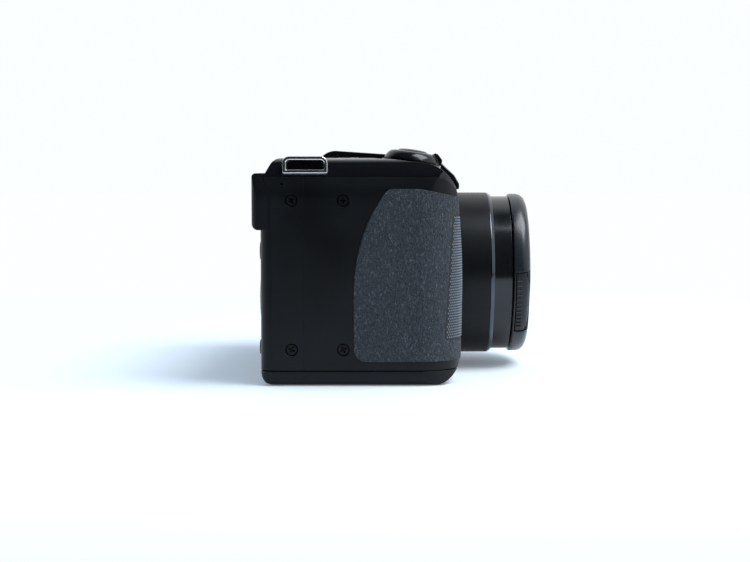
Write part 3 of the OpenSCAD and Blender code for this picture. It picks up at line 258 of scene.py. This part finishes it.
def clear(name, colour, roughness, **fixed):
    """Clear glass or plastic with faint smudges."""
    f = Finish(name, Transmission_Weight=1.0, IOR=1.5, **fixed)
    smudge = f.noise(0.15, 3)
    f.set(Base_Color=f.mix(f.between(smudge, 0.4, 0.8, 0, 1), colour, tuple(c * 0.92 for c in colour)))
    return f.set(Roughness=f.between(smudge, 0.35, 0.8, roughness, roughness + 0.06))


def circuit_board(name):
    """Solder mask with tracks and pads showing through."""
    f = Finish(name)
    tracks = f.node("ShaderNodeTexBrick", {"offset": 0.35}, {
        "Vector": f.place, "Scale": 320.0, "Mortar Size": 0.02}, "Fac")
    pads = f.between(f.cells(0.45), 0.2, 0.16, 0, 1)
    mask = f.mix(f.between(tracks, 0, 1, 0, 1), (0.012, 0.075, 0.03), (0.02, 0.13, 0.055))
    f.set(Base_Color=f.mix(pads * 0.8, mask, (0.6, 0.45, 0.15)))
    f.set(Roughness=f.between(f.noise(1.5), 0.3, 0.7, 0.3, 0.45))
    return f.set(Metallic=pads * 0.8, Normal=f.bump(tracks, 0.03))


def marked(f, mask, colour):
    """Prints a mark over the colour of a finish."""
    under = Value(f, f.shader.inputs["Base Color"].links[0].from_socket)
    return f.set(Base_Color=f.mix(mask, under, colour))


# Marks on the keys, in millimetres right of and above the key's middle as seen from behind

def round_dot(f, u, v):
    return u * u + v * v < 1.5


def play_triangle(f, u, v):
    return (u > -0.9) * (abs(v) < (1.1 - u) * 0.62)


def list_lines(f, u, v):
    return (abs(u) < 1.25) * f.largest(abs(v) < 0.16, abs(abs(v) - 0.75) < 0.16)


def waste_bin(f, u, v):
    lid = (abs(u) < 1.0) * (abs(v - 0.8) < 0.15)
    sides = (abs(abs(u) - 0.62) < 0.15) * (abs(v + 0.3) < 0.85)
    foot = (abs(u) < 0.75) * (abs(v + 1.05) < 0.15)
    return f.largest(lid, sides, foot)


def ring_and_dot(f, u, v):
    radius = f.math("SQRT", u * u + v * v)
    return f.largest(abs(radius - 1.15) < 0.15, radius < 0.4)


def four_arrows(f, u, v):
    def pair(along, across):
        return (abs(along) > 6.3) * (abs(across) < (7.5 - abs(along)) * 0.9)
    return f.largest(pair(u, v), pair(v, u))


def letters_ok(f, u, v):
    o_radius = f.math("SQRT", (u + 1.0) * (u + 1.0) + v * v)
    letter_o = abs(o_radius - 0.72) < 0.15
    post = (abs(u - 0.3) < 0.15) * (abs(v) < 0.87)
    arms = (abs(abs(v) - (u - 0.3)) < 0.2) * (u > 0.3) * (u < 1.15)
    return f.largest(letter_o, post, arms)


def key_finish(node, mark, colour):
    """Key plastic with a printed mark on its rear face."""
    f = moulded(node + "_plastic", (0.016, 0.016, 0.018), 0.4, 0.006)
    low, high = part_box(node)
    right = (low.x + high.x) / 2 / MM - f.axis("X")
    up = f.axis("Z") - (low.z + high.z) / 2 / MM
    return marked(f, mark(f, right, up) * (f.axis("Y") > high.y / MM - 1), colour)


def power_finish():
    """Polished power button with a ring and a stroke on its top."""
    f = polished("power_button_plastic", (0.012, 0.012, 0.014), 0.15)
    low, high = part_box("power_button")
    right = (low.x + high.x) / 2 / MM - f.axis("X")
    ahead = (low.y + high.y) / 2 / MM - f.axis("Y")
    radius = f.math("SQRT", right * right + ahead * ahead)
    broken = (abs(radius - 1.4) < 0.16) * f.largest(abs(right) > 0.5, ahead < 0.0)
    stroke = (abs(right) < 0.16) * (ahead > 0.3) * (ahead < 1.8)
    return marked(f, f.largest(broken, stroke), (0.55, 0.57, 0.6))


def display_finish():
    """Window glass with the paler field of the panel behind it."""
    f = polished("display_glass", (0.004, 0.0045, 0.006), 0.03)
    low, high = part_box("display_window")
    across = abs(f.axis("X") - (low.x + high.x) / 2 / MM)
    up = abs(f.axis("Z") - (low.z + high.z) / 2 / MM)
    field = (across < (high.x - low.x) / 2 / MM - 4) * (up < (high.z - low.z) / 2 / MM - 3.5)
    return marked(f, field, (0.012, 0.0135, 0.018))


# One finish for each material slot, and a few for single nodes
finish = {
    "matte_body": moulded("matte_black_plastic", (0.003, 0.0033, 0.0038), 0.34, Specular_IOR_Level=0.2),
    "gloss_cover": polished("polished_black_plastic", (0.005, 0.005, 0.006), Specular_IOR_Level=0.4),
    "key_plastic": moulded("key_plastic", (0.016, 0.016, 0.018), 0.4, 0.006),
    "grip_rubber": leather_rubber("leather_grain_rubber", (0.03, 0.038, 0.048)),
    "inlay_rubber": moulded("dark_rubber", (0.006, 0.007, 0.008), 0.6, 0.01),
    "lens_black": turned_metal("satin_black_barrel", (0.004, 0.0042, 0.0048), 0.34, ring_mm=0.0012,
                               Specular_IOR_Level=0.2),
    "trim_metal": turned_metal("bright_turned_ring", (0.06, 0.07, 0.085), 0.1, 1.0, 0.002),
    "bright_metal": bare_metal("polished_eyelet", (0.8, 0.79, 0.8), 0.12),
    "screw_metal": bare_metal("blackened_screw", (0.022, 0.022, 0.024), 0.36),
    "steel": bare_metal("plain_steel", (0.5, 0.5, 0.52), 0.28),
    "contact_brass": bare_metal("contact_brass", (0.66, 0.48, 0.18), 0.25),
    "board": circuit_board("circuit_board"),
    "cell_wrap": polished("cell_wrap", (0.03, 0.05, 0.045), 0.2),
    "card_plastic": moulded("card_plastic", (0.012, 0.02, 0.07), 0.4),
    "motor_can": bare_metal("motor_can", (0.45, 0.45, 0.48), 0.3),
    "capacitor_wrap": polished("capacitor_wrap", (0.015, 0.015, 0.035), 0.18),
    "speaker_black": moulded("speaker_black", (0.01, 0.01, 0.01), 0.6),
    "lens_glass": clear("coated_glass", (0.4, 0.46, 0.62), 0.0),
    "display_glass": display_finish(),
    "display_black": polished("display_panel", (0.006, 0.007, 0.011), 0.1),
    "flash_clear": clear("ribbed_clear_plastic", (0.9, 0.92, 0.96), 0.08),
    "gloss_barrel": turned_metal("gloss_black_barrel", (0.005, 0.005, 0.0056), 0.13, ring_mm=0.001),
    "dot_rubber": moulded("raised_rubber_dots", (0.14, 0.155, 0.18), 0.5, 0.006),
    "lever_plastic": moulded("lever_plastic", (0.003, 0.003, 0.0034), 0.11, 0.0004, Specular_IOR_Level=0.3),
    "tab_plastic": moulded("tab_plastic", (0.009, 0.01, 0.012), 0.4, 0.006, Specular_IOR_Level=0.3),
    "rib_plastic": moulded("worn_ribs", (0.02, 0.02, 0.022), 0.36, 0.006),
}
MARK_GREY = (0.5, 0.52, 0.55)
for node, (mark, colour) in {
    "record_button": (round_dot, (0.5, 0.02, 0.015)), "scene_button": (ring_and_dot, MARK_GREY),
    "playback_button": (play_triangle, MARK_GREY), "menu_button": (list_lines, MARK_GREY),
    "delete_button": (waste_bin, MARK_GREY), "selector_ring": (four_arrows, MARK_GREY),
    "ok_button": (letters_ok, MARK_GREY),
}.items():
    finish[node] = key_finish(node, mark, colour)
finish["power_button"] = power_finish()
finish["lens_cap"] = moulded("cap_plastic", (0.009, 0.0115, 0.0145), 0.28, 0.004, Specular_IOR_Level=0.45)
look_of = {node: node if node in finish and node not in slot_of.values() else slot
           for node, slot in slot_of.items()}
look_of.update({"zoom_barrel_outer": "gloss_barrel", "zoom_lever": "lever_plastic",
                "shutter_button": "lever_plastic", "cap_tab_right": "tab_plastic",
                "cap_tab_left": "tab_plastic"})
for node, part in nodes.items():
    part.data.materials.clear()
    part.data.materials.append(finish[look_of[node]].material)


# Pieces that are made from a node's shape

def settle(mesh_object, name, body, slot, *replaced):
    """Names a finished piece, gives it to its body and hides the nodes it stands for."""
    mesh_object.name = name
    mesh_object.data.name = name
    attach(mesh_object, body)
    if replaced:
        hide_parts(*replaced)
    return mesh_object


def plain_mesh(source):
    """A plain mesh object with the source's modifiers applied; the source is removed."""
    evaluated = source.evaluated_get(bpy.context.evaluated_depsgraph_get())
    made = bpy.data.objects.new(source.name, bpy.data.meshes.new_from_object(evaluated))
    scene.collection.objects.link(made)
    bpy.data.objects.remove(source)
    return made


def face_groove(work):
    """Presses a shallow round groove into the flat front of the lens cap."""
    work.normal_update()
    front = max((f for f in work.faces if f.normal.y < -0.99), key=lambda f: f.calc_area())
    reach = math.sqrt(front.calc_area() / math.pi)
    groove_r, wall, floor, depth = 20.2 * MM, 0.3 * MM, 0.7 * MM, 0.5 * MM
    for inwards, rise in ((reach - groove_r, 0), (wall, -depth), (floor, 0), (wall, depth)):
        bmesh.ops.inset_region(work, faces=[front], thickness=inwards, depth=rise, use_even_offset=True)


def window_ribs(work):
    """Presses a row of shallow grooves into the outer face of the flash window, which leaves ribs."""
    work.normal_update()
    outer = min(work.faces, key=lambda f: f.normal.z)
    normal = outer.normal.copy()
    level = normal.dot(outer.verts[0].co)
    low, high = min(v.co.x for v in work.verts), max(v.co.x for v in work.verts)
    grooves, depth, hair = 29, 0.12 * MM, 0.001 * MM
    step = (high - low) / (2 * grooves)
    for i in range(1, 2 * grooves):
        everything = work.verts[:] + work.edges[:] + work.faces[:]
        bmesh.ops.bisect_plane(work, geom=everything, plane_co=(low + i * step, 0, 0), plane_no=(1, 0, 0))
    for vert in work.verts:
        if abs(normal.dot(vert.co) - level) < hair and round((vert.co.x - low) / step) % 2:
            vert.co -= normal * depth


CARVED = {"lens_cap": face_groove, "flash_window": window_ribs}


def joined_copy(node, carve=None):
    """A copy of a node's mesh as closed, clean faces."""
    mesh = bpy.data.meshes.new(node)
    work = bmesh.new()
    work.from_mesh(nodes[node].data)
    bmesh.ops.remove_doubles(work, verts=work.verts, dist=0.002 * MM)
    bmesh.ops.dissolve_limit(work, angle_limit=math.radians(0.4), verts=work.verts, edges=work.edges,
                             use_dissolve_boundaries=False)
    if carve:
        carve(work)
    work.to_mesh(mesh)
    work.free()
    made = bpy.data.objects.new(node + "_copy", mesh)
    scene.collection.objects.link(made)
    return made


def rein_in(mesh, source, limit):
    """Brings points that the rounding threw off the source's surface back to their neighbours on it."""
    surface = BVHTree.FromPolygons([v.co for v in source.vertices], [p.vertices for p in source.polygons])
    astray = [v.index for v in mesh.vertices if surface.find_nearest(v.co)[3] > limit]
    while astray:
        near = {index: [] for index in astray}
        for edge in mesh.edges:
            for one, other in (edge.vertices, reversed(edge.vertices)):
                if one in near and other not in near:
                    near[one].append(mesh.vertices[other].co)
        for index, found in near.items():
            if found:
                mesh.vertices[index].co = surface.find_nearest(sum(found, Vector()) / len(found))[0]
        left = [index for index in astray if not near[index]]
        if len(left) == len(astray):
            break
        astray = left


SHARP_ANGLE = math.radians(30)
STRAY_SHARE = 0.75


def softened(node, width_mm):
    """Replaces a node by the same shape with its edges rounded by a small width."""
    work = joined_copy(node, CARVED.get(node))
    for polygon in work.data.polygons:
        polygon.use_smooth = True
    bevel = work.modifiers.new("edges", "BEVEL")
    bevel.limit_method = "ANGLE"
    bevel.angle_limit = SHARP_ANGLE
    bevel.width = width_mm * MM
    bevel.segments = 2
    bevel.use_clamp_overlap = False
    even = work.modifiers.new("even_shading", "WEIGHTED_NORMAL")
    even.weight = 80
    source = work.data
    made = plain_mesh(work)
    rein_in(made.data, source, STRAY_SHARE * width_mm * MM)
    made.data.materials.clear()
    made.data.materials.append(finish[look_of[node]].material)
    return settle(made, node + "_soft", body_of[node], slot_of[node], node)


for node, width in {
    "front_shell": 0.08, "rear_shell": 0.08, "top_cover": 0.05, "bottom_cover": 0.12,
    "battery_door": 0.12, "thumb_rest": 0.3, "grip_rubber": 0.2, "finger_inlay": 0.1,
    "display_window": 0.2, "strap_eyelet_right": 0.35, "strap_eyelet_left": 0.35,
    "lens_base_barrel": 0.15, "lens_trim_ring": 0.12, "zoom_barrel_outer": 0.15,
    "zoom_barrel_inner": 0.1, "front_ring": 0.1, "lens_cap": 0.2, "cap_tab_right": 0.15,
    "cap_tab_left": 0.15, "shutter_button": 0.25, "zoom_lever": 0.3, "power_button": 0.15,
    "flash_head": 0.5, "record_button": 0.15, "scene_button": 0.15, "playback_button": 0.15,
    "menu_button": 0.15, "delete_button": 0.15, "selector_ring": 0.15, "ok_button": 0.3,
    "connector_door": 0.15, "door_latch": 0.15, "tripod_bush": 0.12, "flash_window": 0.05,
}.items():
    softened(node, width)


# Small shapes that repeat

class Pattern(Graph):
    """A Geometry Nodes tree with named sizes, for what repeats on one piece."""

    def __init__(self, name, **sizes):
        self.name = name
        self.tree = bpy.data.node_groups.new(name, "GeometryNodeTree")
        add = self.tree.interface.new_socket
        add("Geometry", in_out="INPUT", socket_type="NodeSocketGeometry")
        add("Geometry", in_out="OUTPUT", socket_type="NodeSocketGeometry")
        self.identifier = {}
        for size, value in sizes.items():
            whole = isinstance(value, int)
            socket = add(size, in_out="INPUT", socket_type="NodeSocketInt" if whole else "NodeSocketFloat")
            socket.default_value = value
            self.identifier[size] = socket.identifier
        self.group = self.tree.nodes.new("NodeGroupInput")
        self.source = Value(self, self.group.outputs["Geometry"])

    def size(self, name):
        return Value(self, self.group.outputs[name])

    def vector(self, operation, *values):
        return self.node("ShaderNodeVectorMath", {"operation": operation}, dict(enumerate(values)))

    def place(self):
        return self.node("GeometryNodeInputPosition")

    def parts(self, vector):
        return [self.node("ShaderNodeSeparateXYZ", None, {"Vector": vector}, axis) for axis in "XYZ"]

    def joined(self, x, y, z):
        return self.node("ShaderNodeCombineXYZ", None, {"X": x, "Y": y, "Z": z})

    def end(self, instances, material):
        real = self.node("GeometryNodeRealizeInstances", None, {"Geometry": instances})
        done = self.node("GeometryNodeSetMaterial", None, {"Geometry": real, "Material": material})
        out = self.tree.nodes.new("NodeGroupOutput")
        self.tree.links.new(done.socket, out.inputs["Geometry"])
        return self

    def made_on(self, mesh, **sizes):
        """A plain mesh object of the pattern, on the points of a mesh."""
        work = bpy.data.objects.new(self.name, mesh)
        scene.collection.objects.link(work)
        modifier = work.modifiers.new(self.name, "NODES")
        modifier.node_group = self.tree
        for size, value in sizes.items():
            modifier[self.identifier[size]] = value
        return plain_mesh(work)


def finger_dots():
    """Rows of raised dots, cast on to the curved finger inlay of the grip."""
    low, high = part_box("finger_inlay")
    bend_r, reach, ray_length = 15 * MM, 22 * MM, 12 * MM
    middle_angle = math.radians(66)
    edge_lean, margin = 2.6 * MM, 0.62 * MM
    turn_x, turn_y = low.x + bend_r, low.y + bend_r
    p = Pattern("finger_dots", Pitch=0.86 * MM, Radius=0.33 * MM, Height=0.3 * MM, Columns=26, Rows=48)
    pitch = p.size("Pitch")
    grid = p.node("GeometryNodeMeshGrid", None, {
        "Size X": (p.size("Columns") - 1) * pitch, "Size Y": (p.size("Rows") - 1) * pitch,
        "Vertices X": p.size("Columns"), "Vertices Y": p.size("Rows")})
    x, y, _ = p.parts(p.place())
    row = p.math("ROUND", y / pitch + p.size("Rows") * 0.5)
    shift = p.math("FLOORED_MODULO", row, 2.0) * pitch * 0.5
    angle = (x + shift) / bend_r + middle_angle
    away = p.joined(turn_x - p.math("COSINE", angle) * reach, turn_y - p.math("SINE", angle) * reach,
                    y + (low.z + high.z) / 2)
    cast = p.node("GeometryNodeSetPosition", None, {"Geometry": grid, "Position": away})
    px, py, _ = p.parts(p.place())
    inward = p.vector("NORMALIZE", p.joined(turn_x - px, turn_y - py, 0.0))
    inlay = p.node("GeometryNodeObjectInfo", None, {"Object": nodes["finger_inlay"]}, "Geometry")
    ray = {"Target Geometry": inlay, "Source Position": p.place(), "Ray Direction": inward,
           "Ray Length": ray_length}
    hit = p.node("GeometryNodeRaycast", None, ray, "Is Hit")
    facing = Value(p, hit.socket.node.outputs["Hit Normal"])
    landing = Value(p, hit.socket.node.outputs["Hit Position"])
    kept = p.node("GeometryNodeDeleteGeometry", None, {
        "Geometry": cast, "Selection": p.node("FunctionNodeBooleanMath", {"operation": "NOT"}, {0: hit})})
    turned = p.node("GeometryNodeStoreNamedAttribute", {"data_type": "FLOAT_VECTOR"}, {
        "Geometry": kept, "Name": "facing", "Value": facing})
    landed = p.node("GeometryNodeSetPosition", None, {"Geometry": turned, "Position": landing})
    qx, qy, qz = p.parts(p.place())
    share = (qz - low.z) / (high.z - low.z)
    edge_y = high.y - share * edge_lean
    outside = p.largest(qy > edge_y - margin, qz < low.z + margin, qz > high.z - margin, qx > high.x - margin)
    dots = p.node("GeometryNodeDeleteGeometry", None, {"Geometry": landed, "Selection": outside})
    dot = p.node("GeometryNodeMeshCone", None, {
        "Vertices": 8, "Side Segments": 1, "Fill Segments": 1, "Radius Top": p.size("Radius") * 0.45,
        "Radius Bottom": p.size("Radius"), "Depth": p.size("Height")})
    sunk = p.node("GeometryNodeTransform", None, {
        "Geometry": dot, "Translation": p.joined(0.0, 0.0, p.size("Height") * -0.15)})
    normal = p.node("GeometryNodeInputNamedAttribute", {"data_type": "FLOAT_VECTOR"}, {"Name": "facing"})
    turn = p.node("FunctionNodeAlignRotationToVector", {"axis": "Z"}, {"Vector": normal})
    placed = p.node("GeometryNodeInstanceOnPoints", None, {
        "Points": dots, "Instance": sunk, "Rotation": turn})
    p.end(placed, finish["dot_rubber"].material)
    made = p.made_on(bpy.data.meshes.new("finger_dots"))
    settle(made, "finger_dots", body_of["finger_inlay"], "inlay_rubber")


def screw_head():
    """A round screw head on +Z with a cross recess, its rim at the origin's level."""
    radius, rim, depth = 1.8 * MM, 0.14 * MM, 0.8 * MM
    shoulder_drop, foot_drop = 0.12 * MM, 0.9 * MM
    arm, half = 1.15 * MM, 0.24 * MM
    work = bmesh.new()

    def ring(r, z, count=28):
        turns = [2 * math.pi * i / count for i in range(count)]
        return [work.verts.new((r * math.cos(turn), r * math.sin(turn), z)) for turn in turns]

    def cross(scale, z):
        corners = [(arm, half), (half, half), (half, arm)]
        points = []
        for quarter in range(4):
            c, s = math.cos(quarter * math.pi / 2), math.sin(quarter * math.pi / 2)
            points += [(c * x - s * y, s * x + c * y) for x, y in corners]
        return [work.verts.new((x * scale, y * scale, z)) for x, y in points]

    def walls(first, second):
        for i in range(len(first)):
            work.faces.new((first[i - 1], first[i], second[i], second[i - 1]))

    foot, shoulder = ring(radius, -foot_drop), ring(radius, -shoulder_drop)
    rim_loop = ring(radius - rim, 0)
    slot_top, slot_floor = cross(1, 0), cross(0.4, -depth)
    walls(foot, shoulder)
    walls(shoulder, rim_loop)
    walls(slot_top, slot_floor)
    around = [work.edges.get((loop[i - 1], loop[i]))
              for loop in (rim_loop, slot_top) for i in range(len(loop))]
    bmesh.ops.triangle_fill(work, use_beauty=True, edges=around)
    work.faces.new(slot_floor)
    work.faces.new(foot)
    bmesh.ops.recalc_face_normals(work, faces=work.faces)
    mesh = bpy.data.meshes.new("screw_head")
    work.to_mesh(mesh)
    work.free()
    return bpy.data.objects.new("screw_head", mesh)


def loose_boxes(node):
    """The boxes of a node's separate solids."""
    copy = joined_copy(node)
    work = bmesh.new()
    work.from_mesh(copy.data)
    left = set(work.verts)
    boxes = []
    while left:
        found = [left.pop()]
        for vert in found:
            for edge in vert.link_edges:
                other = edge.other_vert(vert)
                if other in left:
                    left.remove(other)
                    found.append(other)
        boxes.append(([min(v.co[i] for v in found) for i in range(3)],
                      [max(v.co[i] for v in found) for i in range(3)]))
    work.free()
    bpy.data.objects.remove(copy)
    return sorted(boxes)


def screws(node, facing_of):
    """Detailed heads in place of the plain screws of a node."""
    heads = bpy.data.meshes.new(node)
    places, facings = [], []
    for low, high in loose_boxes(node):
        middle = [(a + b) / 2 for a, b in zip(low, high)]
        facing = facing_of(middle)
        axis = next(i for i in range(3) if facing[i])
        middle[axis] = high[axis] if facing[axis] > 0 else low[axis]
        places.append(middle)
        facings += facing
    heads.from_pydata(places, [], [])
    heads.attributes.new("facing", "FLOAT_VECTOR", "POINT").data.foreach_set("vector", facings)
    head = screw_head()
    p = Pattern(node + "_heads", Turn=0.5)
    normal = p.node("GeometryNodeInputNamedAttribute", {"data_type": "FLOAT_VECTOR"}, {"Name": "facing"})
    turn = p.node("FunctionNodeAlignRotationToVector", {"axis": "Z"}, {"Vector": normal})
    spin = p.joined(0.0, 0.0, p.node("GeometryNodeInputIndex") * 1.1 + p.size("Turn"))
    spun = p.node("FunctionNodeRotateRotation", {"rotation_space": "LOCAL"}, {
        "Rotation": turn, "Rotate By": spin})
    shape = p.node("GeometryNodeObjectInfo", None, {"Object": head}, "Geometry")
    placed = p.node("GeometryNodeInstanceOnPoints", None, {
        "Points": p.source, "Instance": shape, "Rotation": spun})
    p.end(placed, finish["screw_metal"].material)
    made = p.made_on(heads)
    bpy.data.objects.remove(head)
    settle(made, node + "_heads", body_of[node], slot_of[node], node)


def ribs(name, node, count, pitch, length, radius, curve, turn_to_place):
    """A row of small ribs: along X, each rib along Y, standing out on +Z, then turned into place."""
    p = Pattern(name, Count=count, Pitch=pitch, Length=length, Radius=radius, Curve=curve)
    line = p.node("GeometryNodeMeshLine", None, {"Count": p.size("Count")})
    index = p.node("GeometryNodeInputIndex")
    angle = (index - (p.size("Count") - 1) * 0.5) * p.size("Pitch") / p.size("Curve")
    curve_r = p.size("Curve")
    bent = p.joined(p.math("SINE", angle) * curve_r, 0.0, p.math("COSINE", angle) * curve_r - curve_r)
    row = p.node("GeometryNodeSetPosition", None, {"Geometry": line, "Position": bent})
    bar = p.node("GeometryNodeMeshCylinder", None, {
        "Vertices": 10, "Radius": p.size("Radius"), "Depth": p.size("Length")})
    flat = p.node("GeometryNodeTransform", None, {"Geometry": bar, "Rotation": (math.pi / 2, 0.0, 0.0)})
    placed = p.node("GeometryNodeInstanceOnPoints", None, {
        "Points": row, "Instance": flat, "Rotation": p.node("FunctionNodeEulerToRotation", None, {
            "Euler": p.joined(0.0, angle, 0.0)})})
    p.end(placed, finish["rib_plastic"].material)
    made = p.made_on(bpy.data.meshes.new(name))
    made.data.transform(turn_to_place)
    settle(made, name, body_of[node], slot_of[node])


finger_dots()
screws("side_screws", lambda middle: [-1.0 if middle[0] < 0 else 1.0, 0.0, 0.0])
screws("bottom_screws", lambda middle: [0.0, 0.0, -1.0])
low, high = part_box("door_latch")
ribs("latch_ribs", "door_latch", 4, 1.5 * MM, 3.8 * MM, 0.22 * MM, 1.0,
     Matrix.Translation(((low.x + high.x) / 2, (low.y + high.y) / 2, low.z))
     @ Matrix.Rotation(math.pi / 2, 4, "Z") @ Matrix.Rotation(math.pi, 4, "X"))


def tab_ribs(node, joint):
    """Ribs along the rim of a pinch tab of the cap."""
    inward = next(Vector(j["axis"]) for j in record["behaviour"]["joints"] if j["name"] == joint)
    outward = -inward.normalized()
    forward = Vector((0, 1, 0))
    barrel_low, barrel_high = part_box("lens_base_barrel")
    middle = (barrel_low + barrel_high) / 2
    rim = max(math.hypot(v.co.x - middle.x, v.co.z - middle.z) for v in nodes[node].data.vertices)
    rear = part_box(node)[1].y
    axes = Matrix((forward.cross(outward), forward, outward)).transposed().to_4x4()
    place = Vector((middle.x, rear - 1.1 * MM, middle.z)) + outward * rim
    ribs(node + "_ribs", node, 12, 1.6 * MM, 1.7 * MM, 0.26 * MM, rim, Matrix.Translation(place) @ axes)


tab_ribs("cap_tab_right", "cap_tab_right_press")
tab_ribs("cap_tab_left", "cap_tab_left_press")


# Floor, light and camera
FLOOR_HALF = 4.0
FLOOR_Z = -0.0001
PAINTED_DARK_EDGE_MM = (-400, -240)
FADE_START, FADE_END = 0.12, 0.34
NEAR_WHITE = 0.15
WINDOW_PLACE = (-0.15, -0.5, 0.9)
WINDOW_TARGET = (0, 0, 0.03)
WINDOW_SIZE = 0.6
WINDOW_WATTS = 10.4
WINDOW_COLOUR = (0.87, 0.94, 1.0)
WINDOW_SIDE = (-0.15, -0.85, 0.5)
BACKDROP_SIDE = (1.0, 0.0, 0.0)
CEILING_SIDE = (0.0, 0.0, 1.0)


def seen_as_white(graph, mask):
    """Where white is seen: by the camera always, by reflections and clear pieces within the mask."""
    camera, glossy, clear_ray = [graph.node("ShaderNodeLightPath", None, None, ray) for ray in (
        "Is Camera Ray", "Is Glossy Ray", "Is Transmission Ray")]
    return graph.largest(camera, graph.math("MAXIMUM", glossy, clear_ray) * mask), glossy


def white_floor():
    """A pale floor that keeps the shadow near the camera body and turns white further away; on the viewer's
    side it is painted dark, a patch the camera sees as white.
    """
    mesh = bpy.data.meshes.new("floor")
    corners = [(-1, -1), (1, -1), (1, 1), (-1, 1)]
    mesh.from_pydata([(x * FLOOR_HALF, y * FLOOR_HALF, FLOOR_Z) for x, y in corners], [], [(0, 1, 2, 3)])
    floor = bpy.data.objects.new("floor", mesh)
    scene.collection.objects.link(floor)
    f = Finish("pale_floor", Roughness=0.9, Specular_IOR_Level=0.1)
    # Painted dark reflection: beyond the edge the floor is coloured near black, and reflections see it in
    # place of white, which darkens what the camera body's sides reflect and the light bounced on to them.
    off_painted_dark = f.between(f.axis("X"), *PAINTED_DARK_EDGE_MM, 0.0, 1.0)
    pale = f.mix(f.noise(0.002, 2), (0.86, 0.88, 0.9), (0.9, 0.91, 0.92))
    f.set(Base_Color=f.mix(off_painted_dark, (0.03, 0.03, 0.035), pale))
    away = f.node("ShaderNodeVectorMath", {"operation": "LENGTH"}, {0: f.place}, "Value")
    fade = f.between(away, FADE_START, FADE_END, NEAR_WHITE, 1.0)
    seen, _ = seen_as_white(f, off_painted_dark)
    white = f.node("ShaderNodeEmission", None, {"Color": (0.985, 0.995, 1.0, 1), "Strength": 1.0})
    shader = Value(f, f.shader.outputs[0])
    both = f.node("ShaderNodeMixShader", None, {0: fade * seen, 1: shader, 2: white})
    output = next(n for n in f.tree.nodes if n.type == "OUTPUT_MATERIAL")
    f.tree.links.new(both.socket, output.inputs["Surface"])
    mesh.materials.append(f.material)
    floor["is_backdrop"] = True


def pale_surroundings():
    """A pale room: bright at the window and the backdrop, and dark behind the viewer."""
    world = bpy.data.worlds.new("surroundings")
    world.use_nodes = True
    scene.world = world
    g = Graph()
    g.tree = world.node_tree
    g.tree.nodes.clear()
    toward = g.node("ShaderNodeTexCoord", output="Object")

    def glow(side, start, full):
        share = g.node("ShaderNodeVectorMath", {"operation": "DOT_PRODUCT"}, {0: toward, 1: side}, "Value")
        return g.node("ShaderNodeMapRange", {"interpolation_type": "SMOOTHSTEP"}, {
            "Value": share, "From Min": start, "From Max": full})

    lit = g.largest(glow(WINDOW_SIDE, 0.55, 0.98), glow(BACKDROP_SIDE, 0.1, 0.6))
    ceiling = glow(CEILING_SIDE, -0.2, 0.8) * 0.62 + 0.06
    seen, glossy = seen_as_white(g, lit)
    light = g.node("ShaderNodeBackground", None, {
        "Color": (0.6, 0.79, 1.0, 1), "Strength": lit * 0.8 + (1 - glossy) * ceiling + 0.02})
    white = g.node("ShaderNodeBackground", None, {"Color": (0.97, 0.995, 1.0, 1), "Strength": 1.0})
    both = g.node("ShaderNodeMixShader", None, {0: seen, 1: light, 2: white})
    g.node("ShaderNodeOutputWorld", None, {"Surface": both})


def window_light():
    """The one lamp, a soft square window above and in front of the lens side."""
    lamp = bpy.data.lights.new("window_light", "AREA")
    lamp.shape = "RECTANGLE"
    lamp.size = WINDOW_SIZE
    lamp.size_y = WINDOW_SIZE
    lamp.energy = WINDOW_WATTS
    lamp.color = WINDOW_COLOUR
    stand = bpy.data.objects.new("window_light", lamp)
    stand.location = WINDOW_PLACE
    stand.rotation_euler = (Vector(WINDOW_TARGET) - Vector(WINDOW_PLACE)).to_track_quat("-Z", "Y").to_euler()
    scene.collection.objects.link(stand)


def photo_camera():
    """A level view of the grip end, from the distance and height of the photograph."""
    lens = bpy.data.cameras.new("view")
    lens.sensor_width = 36
    lens.lens = 70.6
    view = bpy.data.objects.new("view", lens)
    view.location = (-0.533, -0.0139, 0.0693)
    tilt = math.radians(4.3)
    ahead = Vector((math.cos(tilt), 0, -math.sin(tilt)))
    view.rotation_euler = ahead.to_track_quat("-Z", "Y").to_euler()
    scene.collection.objects.link(view)
    scene.camera = view


white_floor()
pale_surroundings()
window_light()
photo_camera()
scene.view_settings.view_transform = "Standard"

# The box round all shown pieces, the floor left out
low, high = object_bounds()
